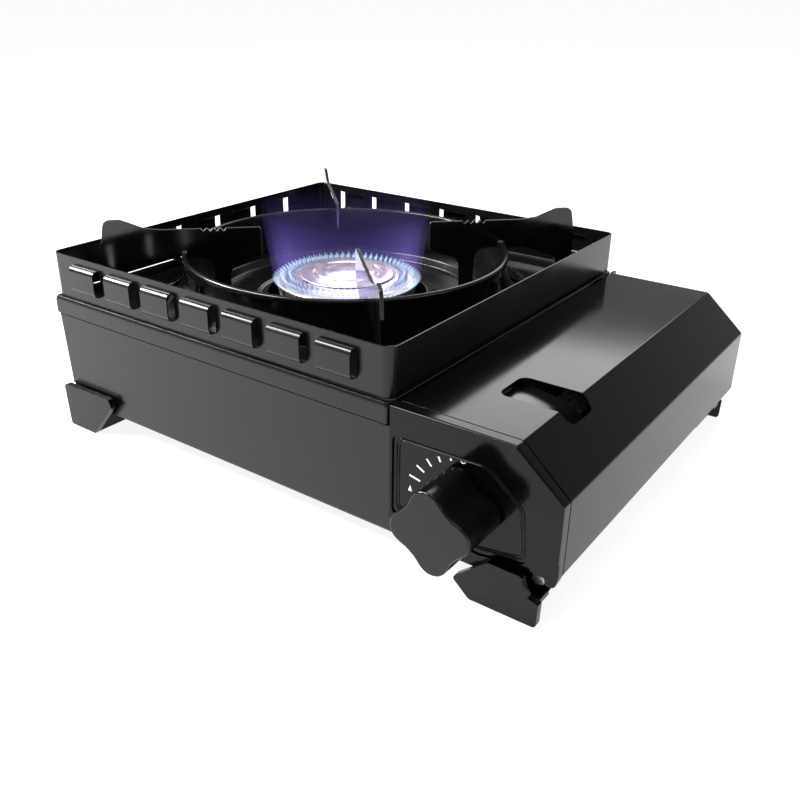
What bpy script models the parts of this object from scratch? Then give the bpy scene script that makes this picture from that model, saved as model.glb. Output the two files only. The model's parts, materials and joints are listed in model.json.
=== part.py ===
"""A portable gas camping stove with a square wind shield and a side bay for a gas cartridge.

Lengths are in metres. Places inside the stove are measured from the left edge of the top plate (x),
from its front face (y) and from the floor (z), and at() turns them into the model's own frame, whose
origin is the middle of the whole stove on the floor.
"""
import math

import bmesh
import bpy
from mathutils import Matrix, Vector

MM = 0.001

# Clearances and sheet gauges
FIT = 0.3 * MM
RUNNING_FIT = 0.45 * MM
SHEET = 0.8 * MM
STEEL_PLATE = 2.0 * MM

# The square wind shield sets the size of the cooking side
SHIELD_SIDE = 249.3 * MM
SHIELD_HEIGHT = 26.2 * MM
SHIELD_CORNER = 5.5 * MM
PLATE_SIDE_MARGIN = 0.2 * MM
PLATE_END_MARGIN = 2.9 * MM
PLATE_CORNER = 2.0 * MM
EDGE_ROUND = 1.0 * MM

# Louvres pressed out of the shield's walls
LOUVRE_DEPTH = 4.4 * MM
LOUVRE_LENGTH = 21.5 * MM
LOUVRE_HEIGHT = 16.0 * MM
LOUVRE_DROP = 4.2 * MM
LOUVRE_MOUTH = 1.2 * MM
FRONT_LOUVRES = 7
FRONT_LOUVRE_PITCH = 31.1 * MM
SIDE_LOUVRES = 5
SIDE_LOUVRE_PITCH = 35.9 * MM

# Case, top plate and cartridge bay
BAY_WIDTH = 90.0 * MM
SEAM_GAP = 1.3 * MM
CASE_BOTTOM = 15.0 * MM
CASE_BAND = 29.0 * MM
CASE_TAPER = 3.6 * MM
CASE_SIDE_INSET = 1.2 * MM
CASE_FACE_INSET = 1.0 * MM
SEAM_HEIGHT = 74.5 * MM
DECK_HEIGHT = 85.0 * MM
WELL_DEPTH = 4.8 * MM
WELL_SIDE_MARGIN = 4.0 * MM
WELL_END_MARGIN = 7.0 * MM
LID_RISE = 0.5 * MM
LID_FOLD_IN = 24.5 * MM
LID_FOLD_DROP = 21.5 * MM
LID_SKIRT = 26.3 * MM
LID_START = 1.8 * MM
REAR_STEP = 3.0 * MM
BAND_STEP = 0.8 * MM
FLANGE = 5.0 * MM
SILL_IN = 5.3 * MM
PANEL_TUCK = 15.0 * MM

# Dial face pressed into the front of the bay
BAND_WIDTH = 14.0 * MM
DIAL_LEFT_IN = 1.5 * MM

# Knob and valve
KNOB_REACH = 27.5 * MM
KNOB_CENTRE_X = 40.5 * MM
KNOB_CENTRE_Z = 45.5 * MM
KNOB_LOBE = 20.8 * MM
KNOB_WAIST = 15.8 * MM
KNOB_LOBES = 4
KNOB_TURN = math.radians(9)
KNOB_GAP = 1.0 * MM
SPINDLE_RADIUS = 4.0 * MM

# Trivet
POT_RISE = 37.5 * MM
CREST_RISE = 6.5 * MM
ARM_INNER = 52.5 * MM
ARM_DEPTH = 23.5 * MM
ARM_CORNER_GAP = 28.3 * MM
INNER_LEG = (72.0 * MM, 82.0 * MM)
OUTER_LEG = 11.5 * MM
NOTCH_DEPTH = 1.9 * MM
NOTCH_PITCH = 4.0 * MM
NOTCHES = 4

# Wind ring, its brackets and the tray
RING_RADIUS = 98.0 * MM
RING_TOP_DROP = 14.0 * MM
RING_ROLL = 1.6 * MM
BRACKET_ARC = math.radians(27)
BRACKET_OUT = 20.0 * MM
BRACKET_RISE = 20.5 * MM
TRAY_RIM = 93.0 * MM
TRAY_SEAT = 88.0 * MM
TRAY_HOLE = 50.6 * MM
TRAY_DROP = 3.8 * MM

# Burner
HEAD_RADIUS = 44.0 * MM
HEAD_HEIGHT = 7.5 * MM
HEAD_BOTTOM = 83.0 * MM
CAP_RADIUS = 30.0 * MM
CAP_THICKNESS = 2.4 * MM
BOWL_BOTTOM = 58.0 * MM
TUBE_HEIGHT = 64.0 * MM
TUBE_RADIUS = 9.0 * MM
TUBE_LENGTH = 88.0 * MM
TUBE_WALL = 2.0 * MM
PIPE_RADIUS = 2.5 * MM
WIRE_RADIUS = 1.1 * MM
WINDOW_ROOM = 1.5 * MM
JET_SEAT = 5.2 * MM
JET_BORE = 0.6 * MM

# Height of the cartridge's axis. The can is bought with its gas, so only its space is kept
CAN_CENTRE_Z = 50.3 * MM

# Feet
FOOT_STANDOFF = 4.0 * MM
FOOT_SPREAD = 44.8 * MM
FOOT_SCREW_IN = 14.0 * MM
FOOT_SCREW_RADIUS = 1.9 * MM
CORNER_RECESS = 6.0 * MM
WING_STEP = 0.4 * MM
BLOCK_IN = 7.0 * MM
BLOCK_SIZE = 17.0 * MM
SHELF_DEPTH = 13.0 * MM

# Lid hinge
HINGE_IN = 7.8 * MM
HINGE_DROP = 6.0 * MM
PIN_RADIUS = 1.5 * MM
PIN_LENGTH = 12.0 * MM

# Sizes that follow from the ones above
PLATE_WIDTH = SHIELD_SIDE + 2 * PLATE_SIDE_MARGIN
CASE_DEPTH = SHIELD_SIDE + 2 * PLATE_END_MARGIN
WIDTH = PLATE_WIDTH + SEAM_GAP + BAY_WIDTH
BAY_LEFT = WIDTH - BAY_WIDTH
LEFT_REACH = max(0.0, LOUVRE_DEPTH - PLATE_SIDE_MARGIN)
REAR_REACH = max(0.0, LOUVRE_DEPTH - PLATE_END_MARGIN)
LEFT = LEFT_REACH - (WIDTH + LEFT_REACH) / 2
FRONT = KNOB_REACH - (KNOB_REACH + CASE_DEPTH + REAR_REACH) / 2
CENTRE_X = PLATE_WIDTH / 2
CENTRE_Y = CASE_DEPTH / 2
SHIELD_BOTTOM = DECK_HEIGHT + FIT
SHIELD_TOP = SHIELD_BOTTOM + SHIELD_HEIGHT
WELL_FLOOR = DECK_HEIGHT - WELL_DEPTH
POT_HEIGHT = DECK_HEIGHT + POT_RISE
RING_TOP = POT_HEIGHT - RING_TOP_DROP
RING_BOTTOM = WELL_FLOOR + FIT
LID_TOP = DECK_HEIGHT + LID_RISE
CASE_FLOOR = CASE_BOTTOM + SHEET
KNOB_X = BAY_LEFT + KNOB_CENTRE_X
LID_FRONT = FLANGE + 1.5 * MM
LID_REAR = CASE_DEPTH - FLANGE - 1.0 * MM
SILL_X = WIDTH - SILL_IN
HINGE_X = BAY_LEFT + HINGE_IN
HINGE_Z = LID_TOP - HINGE_DROP
PARTITION_X = PLATE_WIDTH + 0.4 * MM
PARTITION_TOP = HINGE_Z - 4.5 * MM
FOOT_LEFT = 1.6 * MM
FOOT_RIGHT = WIDTH - 6.0 * MM
ARM_OUTER = math.hypot(SHIELD_SIDE, SHIELD_SIDE) / 2 - ARM_CORNER_GAP

# colour, roughness, metallic
LOOKS = {
    "enamel": ((0.075, 0.078, 0.08), 0.35, 0.4),
    "gloss": ((0.02, 0.02, 0.02), 0.12, 0.2),
    "satin": ((0.045, 0.045, 0.045), 0.5, 0.0),
    "steel": ((0.55, 0.55, 0.56), 0.3, 1.0),
    "zinc": ((0.42, 0.43, 0.45), 0.45, 1.0),
    "aluminium": ((0.65, 0.66, 0.68), 0.4, 1.0),
    "brass": ((0.72, 0.55, 0.25), 0.3, 1.0),
    "copper": ((0.75, 0.42, 0.28), 0.35, 1.0),
    "rubber": ((0.02, 0.02, 0.02), 0.8, 0.0),
    "ceramic": ((0.85, 0.83, 0.78), 0.4, 0.0),
    "plastic": ((0.06, 0.06, 0.065), 0.55, 0.0),
    "magnet": ((0.2, 0.2, 0.22), 0.4, 0.8),
}


# which side a foot is on: (on the left, in front)
FEET = {
    "front_left": (True, True), "rear_left": (True, False),
    "front_right": (False, True), "rear_right": (False, False),
}


# ---------------------------------------------------------------- helpers
def at(x, y, z):
    """A point measured from the left edge, the front face and the floor."""
    return Vector((LEFT + x, FRONT + y, z))


def clear_scene():
    for obj in list(bpy.data.objects):
        bpy.data.objects.remove(obj, do_unlink=True)


def collection(name):
    found = bpy.data.collections.new(name)
    bpy.context.scene.collection.children.link(found)
    return found


def finish(name, look):
    colour, roughness, metallic = LOOKS[look]
    material = bpy.data.materials.new(name)
    material.use_nodes = True
    shader = material.node_tree.nodes["Principled BSDF"]
    shader.inputs["Base Color"].default_value = (*colour, 1.0)
    shader.inputs["Roughness"].default_value = roughness
    shader.inputs["Metallic"].default_value = metallic
    material.diffuse_color = (*colour, 1.0)
    return material


def put(name, data, look):
    """Links new object data as a piece, or as a cutter where it has no look."""
    obj = bpy.data.objects.new(name, data)
    if look:
        PIECES.objects.link(obj)
        data.materials.append(finish(name, look))
        return obj
    CUTTERS.objects.link(obj)
    obj.hide_render = True
    obj.display_type = "WIRE"
    return obj


def box(name, low, high, look=None):
    """A box between two corners, each given as (x, y, z) for at()."""
    low, high = at(*low), at(*high)
    mesh = bpy.data.meshes.new(name)
    shape = bmesh.new()
    bmesh.ops.create_cube(shape, size=1.0)
    bmesh.ops.scale(shape, vec=high - low, verts=shape.verts)
    shape.to_mesh(mesh)
    shape.free()
    piece = put(name, mesh, look)
    piece.location = (low + high) / 2
    return piece


TURNS = {"X": (0.0, math.pi / 2, 0.0), "Y": (-math.pi / 2, 0.0, 0.0), "Z": (0.0, 0.0, 0.0)}


def cylinder(name, radius, start, length, axis="Z", look=None, segments=24):
    """A cylinder that starts at a point and runs along +axis."""
    mesh = bpy.data.meshes.new(name)
    shape = bmesh.new()
    bmesh.ops.create_cone(
        shape, cap_ends=True, segments=segments, radius1=radius, radius2=radius, depth=length
    )
    bmesh.ops.translate(shape, vec=(0, 0, length / 2), verts=shape.verts)
    shape.to_mesh(mesh)
    shape.free()
    mesh.shade_smooth()
    mesh.set_sharp_from_angle(angle=math.radians(35))
    piece = put(name, mesh, look)
    piece.location = at(*start)
    piece.rotation_euler = TURNS[axis]
    return piece


def turned(name, profile, start, look=None, axis="Z", steps=48, closed=False):
    """A turned piece. Its (radius, height) profile runs down the outer side; a closed one is clockwise."""
    mesh = bpy.data.meshes.new(name)
    shape = bmesh.new()
    points = [shape.verts.new((radius, 0, height)) for radius, height in profile]
    for first, second in zip(points, points[1:]):
        shape.edges.new((first, second))
    if closed:
        shape.edges.new((points[-1], points[0]))
    shape.to_mesh(mesh)
    shape.free()
    piece = put(name, mesh, look)
    piece.location = at(*start)
    piece.rotation_euler = TURNS[axis]
    turn = piece.modifiers.new("Turn", "SCREW")
    turn.steps = steps
    turn.render_steps = steps
    turn.use_merge_vertices = True
    turn.merge_threshold = 0.01 * MM
    turn.use_smooth_shade = False
    return piece


def filleted(corners, steps=4):
    """An outline from (x, y, radius) corners, each rounded with an arc."""
    points = []
    for index, (x, y, radius) in enumerate(corners):
        corner = Vector((x, y))
        if radius <= 0:
            points.append(corner)
            continue
        before = Vector(corners[index - 1][:2]) - corner
        after = Vector(corners[(index + 1) % len(corners)][:2]) - corner
        half = before.angle(after) / 2
        reach = min(radius / math.tan(half), 0.49 * before.length, 0.49 * after.length)
        radius = reach * math.tan(half)
        middle = corner + (before.normalized() + after.normalized()).normalized() * radius / math.sin(half)
        first = corner + before.normalized() * reach - middle
        last = corner + after.normalized() * reach - middle
        sweep = first.angle_signed(last)
        for step in range(steps + 1):
            arm = first.copy()
            arm.rotate(Matrix.Rotation(-sweep * step / steps, 2))
            points.append(middle + arm)
    return [tuple(point) for point in points]


def rounded(low_x, low_y, high_x, high_y, radius, steps=4):
    """A rectangle with rounded corners."""
    corners = [(low_x, low_y), (high_x, low_y), (high_x, high_y), (low_x, high_y)]
    return filleted([(x, y, radius) for x, y in corners], steps)


PLANES = {"XY": (0.0, 0.0, 0.0), "XZ": (math.pi / 2, 0.0, 0.0), "YZ": (math.pi / 2, 0.0, math.pi / 2)}


def flat(name, outlines, low, high, plane="XZ", look=None, origin=None, azimuth=0.0):
    """A flat piece from low to high across its plane. The first outline is outer, the rest are holes."""
    curve = bpy.data.curves.new(name, "CURVE")
    curve.dimensions = "2D"
    curve.fill_mode = "BOTH"
    curve.extrude = (high - low) / 2
    for outline in outlines:
        spline = curve.splines.new("POLY")
        spline.points.add(len(outline) - 1)
        for point, (x, y) in zip(spline.points, outline):
            point.co = (x, y, 0, 1)
        spline.use_cyclic_u = True
    sketch = bpy.data.objects.new(name + "_outline", curve)
    bpy.context.scene.collection.objects.link(sketch)
    middle = (low + high) / 2
    offset = {"XY": (0, 0, middle), "XZ": (0, middle, 0), "YZ": (middle, 0, 0)}[plane]
    sketch.location = at(*offset) if origin is None else origin
    turn = PLANES[plane]
    sketch.rotation_euler = (turn[0], turn[1], turn[2] + azimuth)
    return solid_from(sketch, name, look)


def solid_from(curve_object, name, look):
    """Replaces a curve object by a mesh object in the same place, with its caps welded."""
    bpy.context.view_layer.update()
    graph = bpy.context.evaluated_depsgraph_get()
    mesh = bpy.data.meshes.new_from_object(curve_object.evaluated_get(graph))
    mesh.materials.clear()
    shape = bmesh.new()
    shape.from_mesh(mesh)
    bmesh.ops.remove_doubles(shape, verts=shape.verts, dist=0.01 * MM)
    shape.to_mesh(mesh)
    shape.free()
    mesh.name = name
    piece = put(name, mesh, look)
    piece.matrix_world = curve_object.matrix_world
    bpy.data.objects.remove(curve_object, do_unlink=True)
    return piece


def rod(name, points, radius, look=None):
    """A round wire or pipe through points in the model's frame."""
    curve = bpy.data.curves.new(name, "CURVE")
    curve.dimensions = "3D"
    curve.bevel_depth = radius
    curve.bevel_resolution = 2
    curve.use_fill_caps = True
    spline = curve.splines.new("POLY")
    spline.points.add(len(points) - 1)
    for point, place in zip(spline.points, points):
        point.co = (*place, 1)
    sketch = bpy.data.objects.new(name + "_path", curve)
    bpy.context.scene.collection.objects.link(sketch)
    return solid_from(sketch, name, look)


def bent(corners, radius, steps=4):
    """A path through corner points, with an arc of about this radius at each bend."""
    path = [corners[0]]
    for before, corner, after in zip(corners, corners[1:], corners[2:]):
        back = (before - corner).normalized()
        on = (after - corner).normalized()
        reach = min(radius, 0.45 * (before - corner).length, 0.45 * (after - corner).length)
        for step in range(steps + 1):
            share = step / steps
            path.append(corner + back * reach * (1 - share) ** 2 + on * reach * share ** 2)
    path.append(corners[-1])
    return path


def skinned(name, loops, look=None):
    """A surface through loops of points that match one to one, closed by a face at the last loop."""
    mesh = bpy.data.meshes.new(name)
    shape = bmesh.new()
    rings = [[shape.verts.new(at(*point)) for point in loop] for loop in loops]
    count = len(rings[0])
    for lower, upper in zip(rings, rings[1:]):
        for index in range(count):
            following = (index + 1) % count
            shape.faces.new((lower[index], lower[following], upper[following], upper[index]))
    shape.faces.new(rings[-1])
    shape.to_mesh(mesh)
    shape.free()
    return put(name, mesh, look)


def boolean(piece, operation, tools, solver="EXACT"):
    for tool in tools:
        change = piece.modifiers.new(operation.title(), "BOOLEAN")
        change.operation = operation
        change.object = tool
        change.solver = solver
    return piece


def cut(piece, *tools):
    return boolean(piece, "DIFFERENCE", tools)


def fuse(piece, *tools):
    return boolean(piece, "UNION", tools)


def soften(piece, width, segments=2, angle=40):
    edge = piece.modifiers.new("Soften", "BEVEL")
    edge.width = width
    edge.segments = segments
    edge.limit_method = "ANGLE"
    edge.angle_limit = math.radians(angle)
    return piece


def joined(name, meshes_of):
    """One cutter that holds the bodies of several, which don't meet."""
    shape = bmesh.new()
    for tool in meshes_of:
        bpy.context.view_layer.update()
        start = len(shape.verts)
        shape.from_mesh(tool.data)
        shape.verts.ensure_lookup_table()
        bmesh.ops.transform(shape, matrix=tool.matrix_world, verts=shape.verts[start:])
        bpy.data.objects.remove(tool, do_unlink=True)
    mesh = bpy.data.meshes.new(name)
    shape.to_mesh(mesh)
    shape.free()
    return put(name, mesh, None)


# ---------------------------------------------------------------- case and plates
def bay_outline(inset):
    """The lid's outline seen from the front, from the hinge side over the fold to its lower edge."""
    return [
        (BAY_LEFT + inset, LID_TOP - inset),
        (WIDTH - LID_FOLD_IN - 0.35 * inset, LID_TOP - inset),
        (WIDTH - inset, LID_TOP - LID_FOLD_DROP - 0.35 * inset),
    ]


def case_outline():
    """The case seen from the front: the cooking side up to the seam, then the full height of the bay."""
    foot_inset = CASE_SIDE_INSET + CASE_TAPER
    top_left, fold, shoulder = bay_outline(0)
    return filleted([
        (foot_inset, CASE_BOTTOM, 0),
        (SILL_X, CASE_BOTTOM, 0),
        (SILL_X, LID_SKIRT - 0.6 * MM, 0),
        (WIDTH, LID_SKIRT + 4 * MM, 2 * MM),
        (*shoulder, 2 * MM),
        (*fold, 2 * MM),
        (*top_left, 0),
        (BAY_LEFT, SEAM_HEIGHT - FIT, 0),
        (CASE_SIDE_INSET, SEAM_HEIGHT - FIT, 0),
        (foot_inset, CASE_BAND, 0),
    ], 3)


def case_hollow(bay_inset):
    """The inside of the case seen from the front, within its outline and open above the seam."""
    foot_inset = CASE_SIDE_INSET + CASE_TAPER + SHEET
    top_left, fold, shoulder = bay_outline(bay_inset)
    above = SEAM_HEIGHT + 4 * MM
    return [
        (foot_inset, CASE_FLOOR),
        (SILL_X - SHEET, CASE_FLOOR),
        (SILL_X - SHEET, LID_SKIRT + 0.2 * MM),
        (WIDTH - bay_inset, LID_SKIRT + 5 * MM),
        shoulder,
        fold,
        (BAY_LEFT + SHEET, top_left[1]),
        (BAY_LEFT + SHEET, above),
        (CASE_SIDE_INSET + SHEET, above),
        (foot_inset, CASE_BAND),
    ]


def dial_band():
    """The raised border round the dial, with the dial's own recess as its hole."""
    top_left, fold, shoulder = bay_outline(0)
    outer = filleted([
        (BAY_LEFT, LID_SKIRT - 2.5 * MM, 0),
        (WIDTH - PANEL_TUCK - 22 * MM, LID_SKIRT - 5.8 * MM, 3 * MM),
        (WIDTH - PANEL_TUCK, LID_SKIRT - 0.6 * MM, 0),
        (WIDTH - 5 * MM, LID_SKIRT + 2.7 * MM, 0),
        (WIDTH, LID_SKIRT + 7.7 * MM, 2 * MM),
        (*shoulder, 2 * MM),
        (*fold, 2 * MM),
        (*top_left, 0),
    ], 3)
    inner = filleted([
        (BAY_LEFT + DIAL_LEFT_IN, LID_SKIRT + 1.5 * MM, 3 * MM),
        (WIDTH - PANEL_TUCK - 24 * MM, LID_SKIRT - 2.8 * MM, 4 * MM),
        (WIDTH - BAND_WIDTH - 1.5 * MM, LID_SKIRT + 2.0 * MM, 3 * MM),
        (WIDTH - BAND_WIDTH - 1.5 * MM, LID_TOP - LID_FOLD_DROP - 5.0 * MM, 6 * MM),
        (WIDTH - LID_FOLD_IN - 10.5 * MM, LID_TOP - BAND_WIDTH, 6 * MM),
        (BAY_LEFT + DIAL_LEFT_IN, LID_TOP - BAND_WIDTH - 1 * MM, 3 * MM),
    ], 4)
    return flat("dial_band", [outer, inner], 0, CASE_FACE_INSET + 0.3 * MM)


def make_case():
    case = flat("lower_case", [case_outline()], CASE_FACE_INSET, CASE_DEPTH, look="enamel")
    mouth_end = LID_REAR + 0.7 * MM
    hollow = flat("case_hollow", [case_hollow(SHEET)], CASE_FACE_INSET + BAND_STEP + SHEET, mouth_end)
    rear_hollow = flat(
        "rear_hollow", [case_hollow(REAR_STEP + SHEET)], mouth_end - 2 * MM, CASE_DEPTH - SHEET
    )
    bay = box(
        "bay_mouth",
        (BAY_LEFT - 12 * MM, LID_FRONT - 0.7 * MM, LID_SKIRT + 1.2 * MM),
        (WIDTH + 10 * MM, mouth_end, LID_TOP + 10 * MM),
    )
    spindle_hole = cylinder(
        "spindle_hole", SPINDLE_RADIUS + 2 * RUNNING_FIT, (KNOB_X, -5 * MM, KNOB_CENTRE_Z), 12 * MM, "Y"
    )
    screw_holes = []
    for name, (on_left, in_front) in FEET.items():
        x, y = foot_screw_spot(on_left, in_front)
        screw_holes.append(cylinder(
            f"screw_hole_{name}", FOOT_SCREW_RADIUS + FIT, (x, y, CASE_BOTTOM - 5 * MM), 10 * MM, segments=16
        ))
    far = 20 * MM
    surround = [
        (BAY_LEFT + LID_START, LID_SKIRT + 1.2 * MM), (WIDTH + far, LID_SKIRT + 1.2 * MM),
        (WIDTH + far, LID_TOP + far), (BAY_LEFT + LID_START, LID_TOP + far),
    ]
    kept = [(BAY_LEFT - far, LID_SKIRT - far), (WIDTH - REAR_STEP, LID_SKIRT - far)]
    kept += bay_outline(REAR_STEP)[::-1] + [(BAY_LEFT - far, LID_TOP - REAR_STEP)]
    rear_step = flat("rear_step", [surround], mouth_end - 1 * MM, CASE_DEPTH + far)
    rear_kept = flat("rear_kept", [kept], LID_REAR - far, CASE_DEPTH + 2 * far)
    cut(rear_step, rear_kept)
    front_band = box(
        "front_band",
        (-far, CASE_FACE_INSET - far, CASE_BOTTOM - far),
        (BAY_LEFT, CASE_FACE_INSET + BAND_STEP, CASE_BAND - 1 * MM),
    )
    fuse(case, dial_band())
    cut(case, hollow, rear_hollow, bay, rear_step, front_band, spindle_hole, *screw_holes)
    add_corner_recess(case)


def add_corner_recess(case):
    """The pocket in the right front corner, with its screw face at the back and the rounded tab beside it."""
    left = WIDTH - PANEL_TUCK - 2.5 * MM
    pocket_wall = box(
        "pocket_wall",
        (left, CASE_FACE_INSET + 0.5 * MM, CASE_BOTTOM + 0.5 * MM),
        (SILL_X - 0.5 * MM, CORNER_RECESS + SHEET, LID_SKIRT + 1 * MM),
    )
    pocket = box(
        "pocket",
        (left + SHEET, -5 * MM, CASE_BOTTOM - 5 * MM),
        (WIDTH + 5 * MM, CORNER_RECESS, LID_SKIRT - 1.4 * MM),
    )
    tab = flat("corner_tab", [filleted([
        (WIDTH - 7.5 * MM, LID_SKIRT + 5 * MM, 0), (WIDTH - 6 * MM, LID_SKIRT - 5.2 * MM, 1.5 * MM),
        (WIDTH - 1.4 * MM, LID_SKIRT - 5.2 * MM, 2.5 * MM), (WIDTH, LID_SKIRT, 2 * MM),
        (WIDTH, LID_SKIRT + 7 * MM, 0),
    ])], CASE_FACE_INSET + 0.2 * MM, LID_FRONT - 0.9 * MM)
    fuse(case, pocket_wall)
    cut(case, pocket)
    fuse(case, tab)


def plate_loop(side, end, height, radius):
    outline = rounded(side, end, PLATE_WIDTH - side, CASE_DEPTH - end, radius, 5)
    return [(x, y, height) for x, y in outline]


def make_top_plate():
    plate = skinned("top_plate", [
        plate_loop(0, 0, SEAM_HEIGHT, PLATE_CORNER),
        plate_loop(0, 0, DECK_HEIGHT - EDGE_ROUND, PLATE_CORNER),
        plate_loop(0.3 * EDGE_ROUND, 0.3 * EDGE_ROUND, DECK_HEIGHT - 0.3 * EDGE_ROUND, PLATE_CORNER),
        plate_loop(EDGE_ROUND, EDGE_ROUND, DECK_HEIGHT, PLATE_CORNER),
        plate_loop(WELL_SIDE_MARGIN, WELL_END_MARGIN, DECK_HEIGHT, SHIELD_CORNER),
        plate_loop(WELL_SIDE_MARGIN + 1.0 * MM, WELL_END_MARGIN + 1.0 * MM, WELL_FLOOR, SHIELD_CORNER),
    ], "enamel")
    wall = plate.modifiers.new("Wall", "SOLIDIFY")
    wall.thickness = SHEET
    wall.offset = -1
    hole = cylinder(
        "tray_opening", TRAY_SEAT, (CENTRE_X, CENTRE_Y, WELL_FLOOR - 10 * MM), 20 * MM, segments=64
    )
    return cut(plate, hole)


def make_drip_tray():
    top = WELL_FLOOR + FIT + SHEET
    low = WELL_FLOOR - TRAY_DROP
    upper = [
        (TRAY_HOLE, low + 3.6 * MM),
        (TRAY_HOLE + 1.2 * MM, low + 3.6 * MM),
        (TRAY_HOLE + 3.4 * MM, low + 0.8 * MM),
        (TRAY_HOLE + 5.4 * MM, low + 0.8 * MM),
        (TRAY_HOLE + 7.4 * MM, low + 2.4 * MM),
        (TRAY_HOLE + 9.6 * MM, low),
        (TRAY_SEAT - 4.0 * MM, low),
        (TRAY_SEAT - 1.6 * MM, top),
        (TRAY_RIM, top),
    ]
    lower = [(radius, height - SHEET) for radius, height in reversed(upper)]
    return turned("drip_tray", upper + lower, (CENTRE_X, CENTRE_Y, 0), "enamel", steps=56, closed=True)


def make_partition():
    """The sheet between burner chamber and bay, with windows for the pipe, the wire and the heat panel."""
    sheet = box(
        "bay_partition",
        (PARTITION_X, CASE_FACE_INSET + BAND_STEP + SHEET + FIT, CASE_FLOOR + FIT),
        (PARTITION_X + 0.8 * MM, CASE_DEPTH - SHEET - FIT, PARTITION_TOP),
        "steel",
    )
    past = 5 * MM
    pipe = cylinder(
        "pipe_window", PIPE_RADIUS + WINDOW_ROOM, (PARTITION_X - past, PIPE_Y, PIPE_Z), 2 * past, "X"
    )
    wire = cylinder(
        "wire_window", WIRE_RADIUS + WINDOW_ROOM, (PARTITION_X - past, PIEZO_Y, KNOB_CENTRE_Z), 2 * past, "X",
        segments=16
    )
    panel = box(
        "panel_window",
        (PARTITION_X - past, PANEL_Y - 1 * MM, CASE_FLOOR - 5 * MM),
        (PARTITION_X + past, PANEL_Y + PANEL_WIDTH + 1 * MM, CASE_FLOOR + 5 * MM),
    )
    return cut(sheet, pipe, wire, panel)


# ---------------------------------------------------------------- wind shield unit
def louvre_section(wall, depth, low, high):
    """A louvre's section across the wall: how far it stands out, and its height."""
    lean = 0.18 * (high - low)
    return filleted([
        (-wall, low, 0),
        (0, low, 0),
        (depth, low + lean, 1.0 * MM),
        (depth, high - lean, 1.0 * MM),
        (0, high, 0),
        (-wall, high, 0),
    ], 2)


def louvre_spots():
    """Where each louvre is: its middle on the wall, and the direction in which it stands out."""
    low = PLATE_END_MARGIN
    high = CASE_DEPTH - PLATE_END_MARGIN
    spots = []
    for index in range(FRONT_LOUVRES):
        x = CENTRE_X + (index - (FRONT_LOUVRES - 1) / 2) * FRONT_LOUVRE_PITCH
        spots.append((x, low, -math.pi / 2))
        spots.append((x, high, math.pi / 2))
    for index in range(SIDE_LOUVRES):
        y = CENTRE_Y + (index - (SIDE_LOUVRES - 1) / 2) * SIDE_LOUVRE_PITCH
        spots.append((PLATE_SIDE_MARGIN, y, math.pi))
    return spots


def louvres(name, inset, grow, wall):
    """All louvre bodies as one tool; inset thins them to the sheet's inner side and grow lengthens them."""
    high = SHIELD_TOP - LOUVRE_DROP - inset
    low = SHIELD_TOP - LOUVRE_DROP - LOUVRE_HEIGHT + inset
    section = louvre_section(wall, LOUVRE_DEPTH - inset, low, high)
    half = LOUVRE_LENGTH / 2 + grow
    bodies = []
    for index, (x, y, azimuth) in enumerate(louvre_spots()):
        body = flat(f"{name}_{index}", [section], -half, half, "XZ", None, at(x, y, 0), azimuth)
        bodies.append(body)
    return joined(name, bodies)


def make_wind_shield():
    low_x, low_y = PLATE_SIDE_MARGIN, PLATE_END_MARGIN
    high_x, high_y = low_x + SHIELD_SIDE, low_y + SHIELD_SIDE
    outer = rounded(low_x, low_y, high_x, high_y, SHIELD_CORNER, 5)
    inner = rounded(low_x + SHEET, low_y + SHEET, high_x - SHEET, high_y - SHEET, SHIELD_CORNER - SHEET, 5)
    shield = flat("wind_shield", [outer, inner], SHIELD_BOTTOM, SHIELD_TOP, "XY", "enamel")
    fuse(shield, louvres("louvre_bodies", 0, 0, 0.5 * SHEET))
    return cut(shield, louvres("louvre_mouths", SHEET, LOUVRE_MOUTH, 3 * SHEET))


def make_wind_ring():
    """A thin drum with its rim rolled outwards."""
    inner = RING_RADIUS
    outer = RING_RADIUS + SHEET
    roll = RING_ROLL
    middle = (outer + 0.4 * roll, RING_TOP - roll)
    profile = [(inner, RING_TOP - 1.2 * roll)]
    for step in range(7):
        angle = math.radians(165 - 38 * step)
        profile.append((middle[0] + roll * math.cos(angle), middle[1] + roll * math.sin(angle)))
    profile += [(outer, RING_TOP - 2.6 * roll), (outer, RING_BOTTOM), (inner, RING_BOTTOM)]
    return turned("wind_ring", profile, (CENTRE_X, CENTRE_Y, 0), "enamel", steps=64, closed=True)


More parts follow.
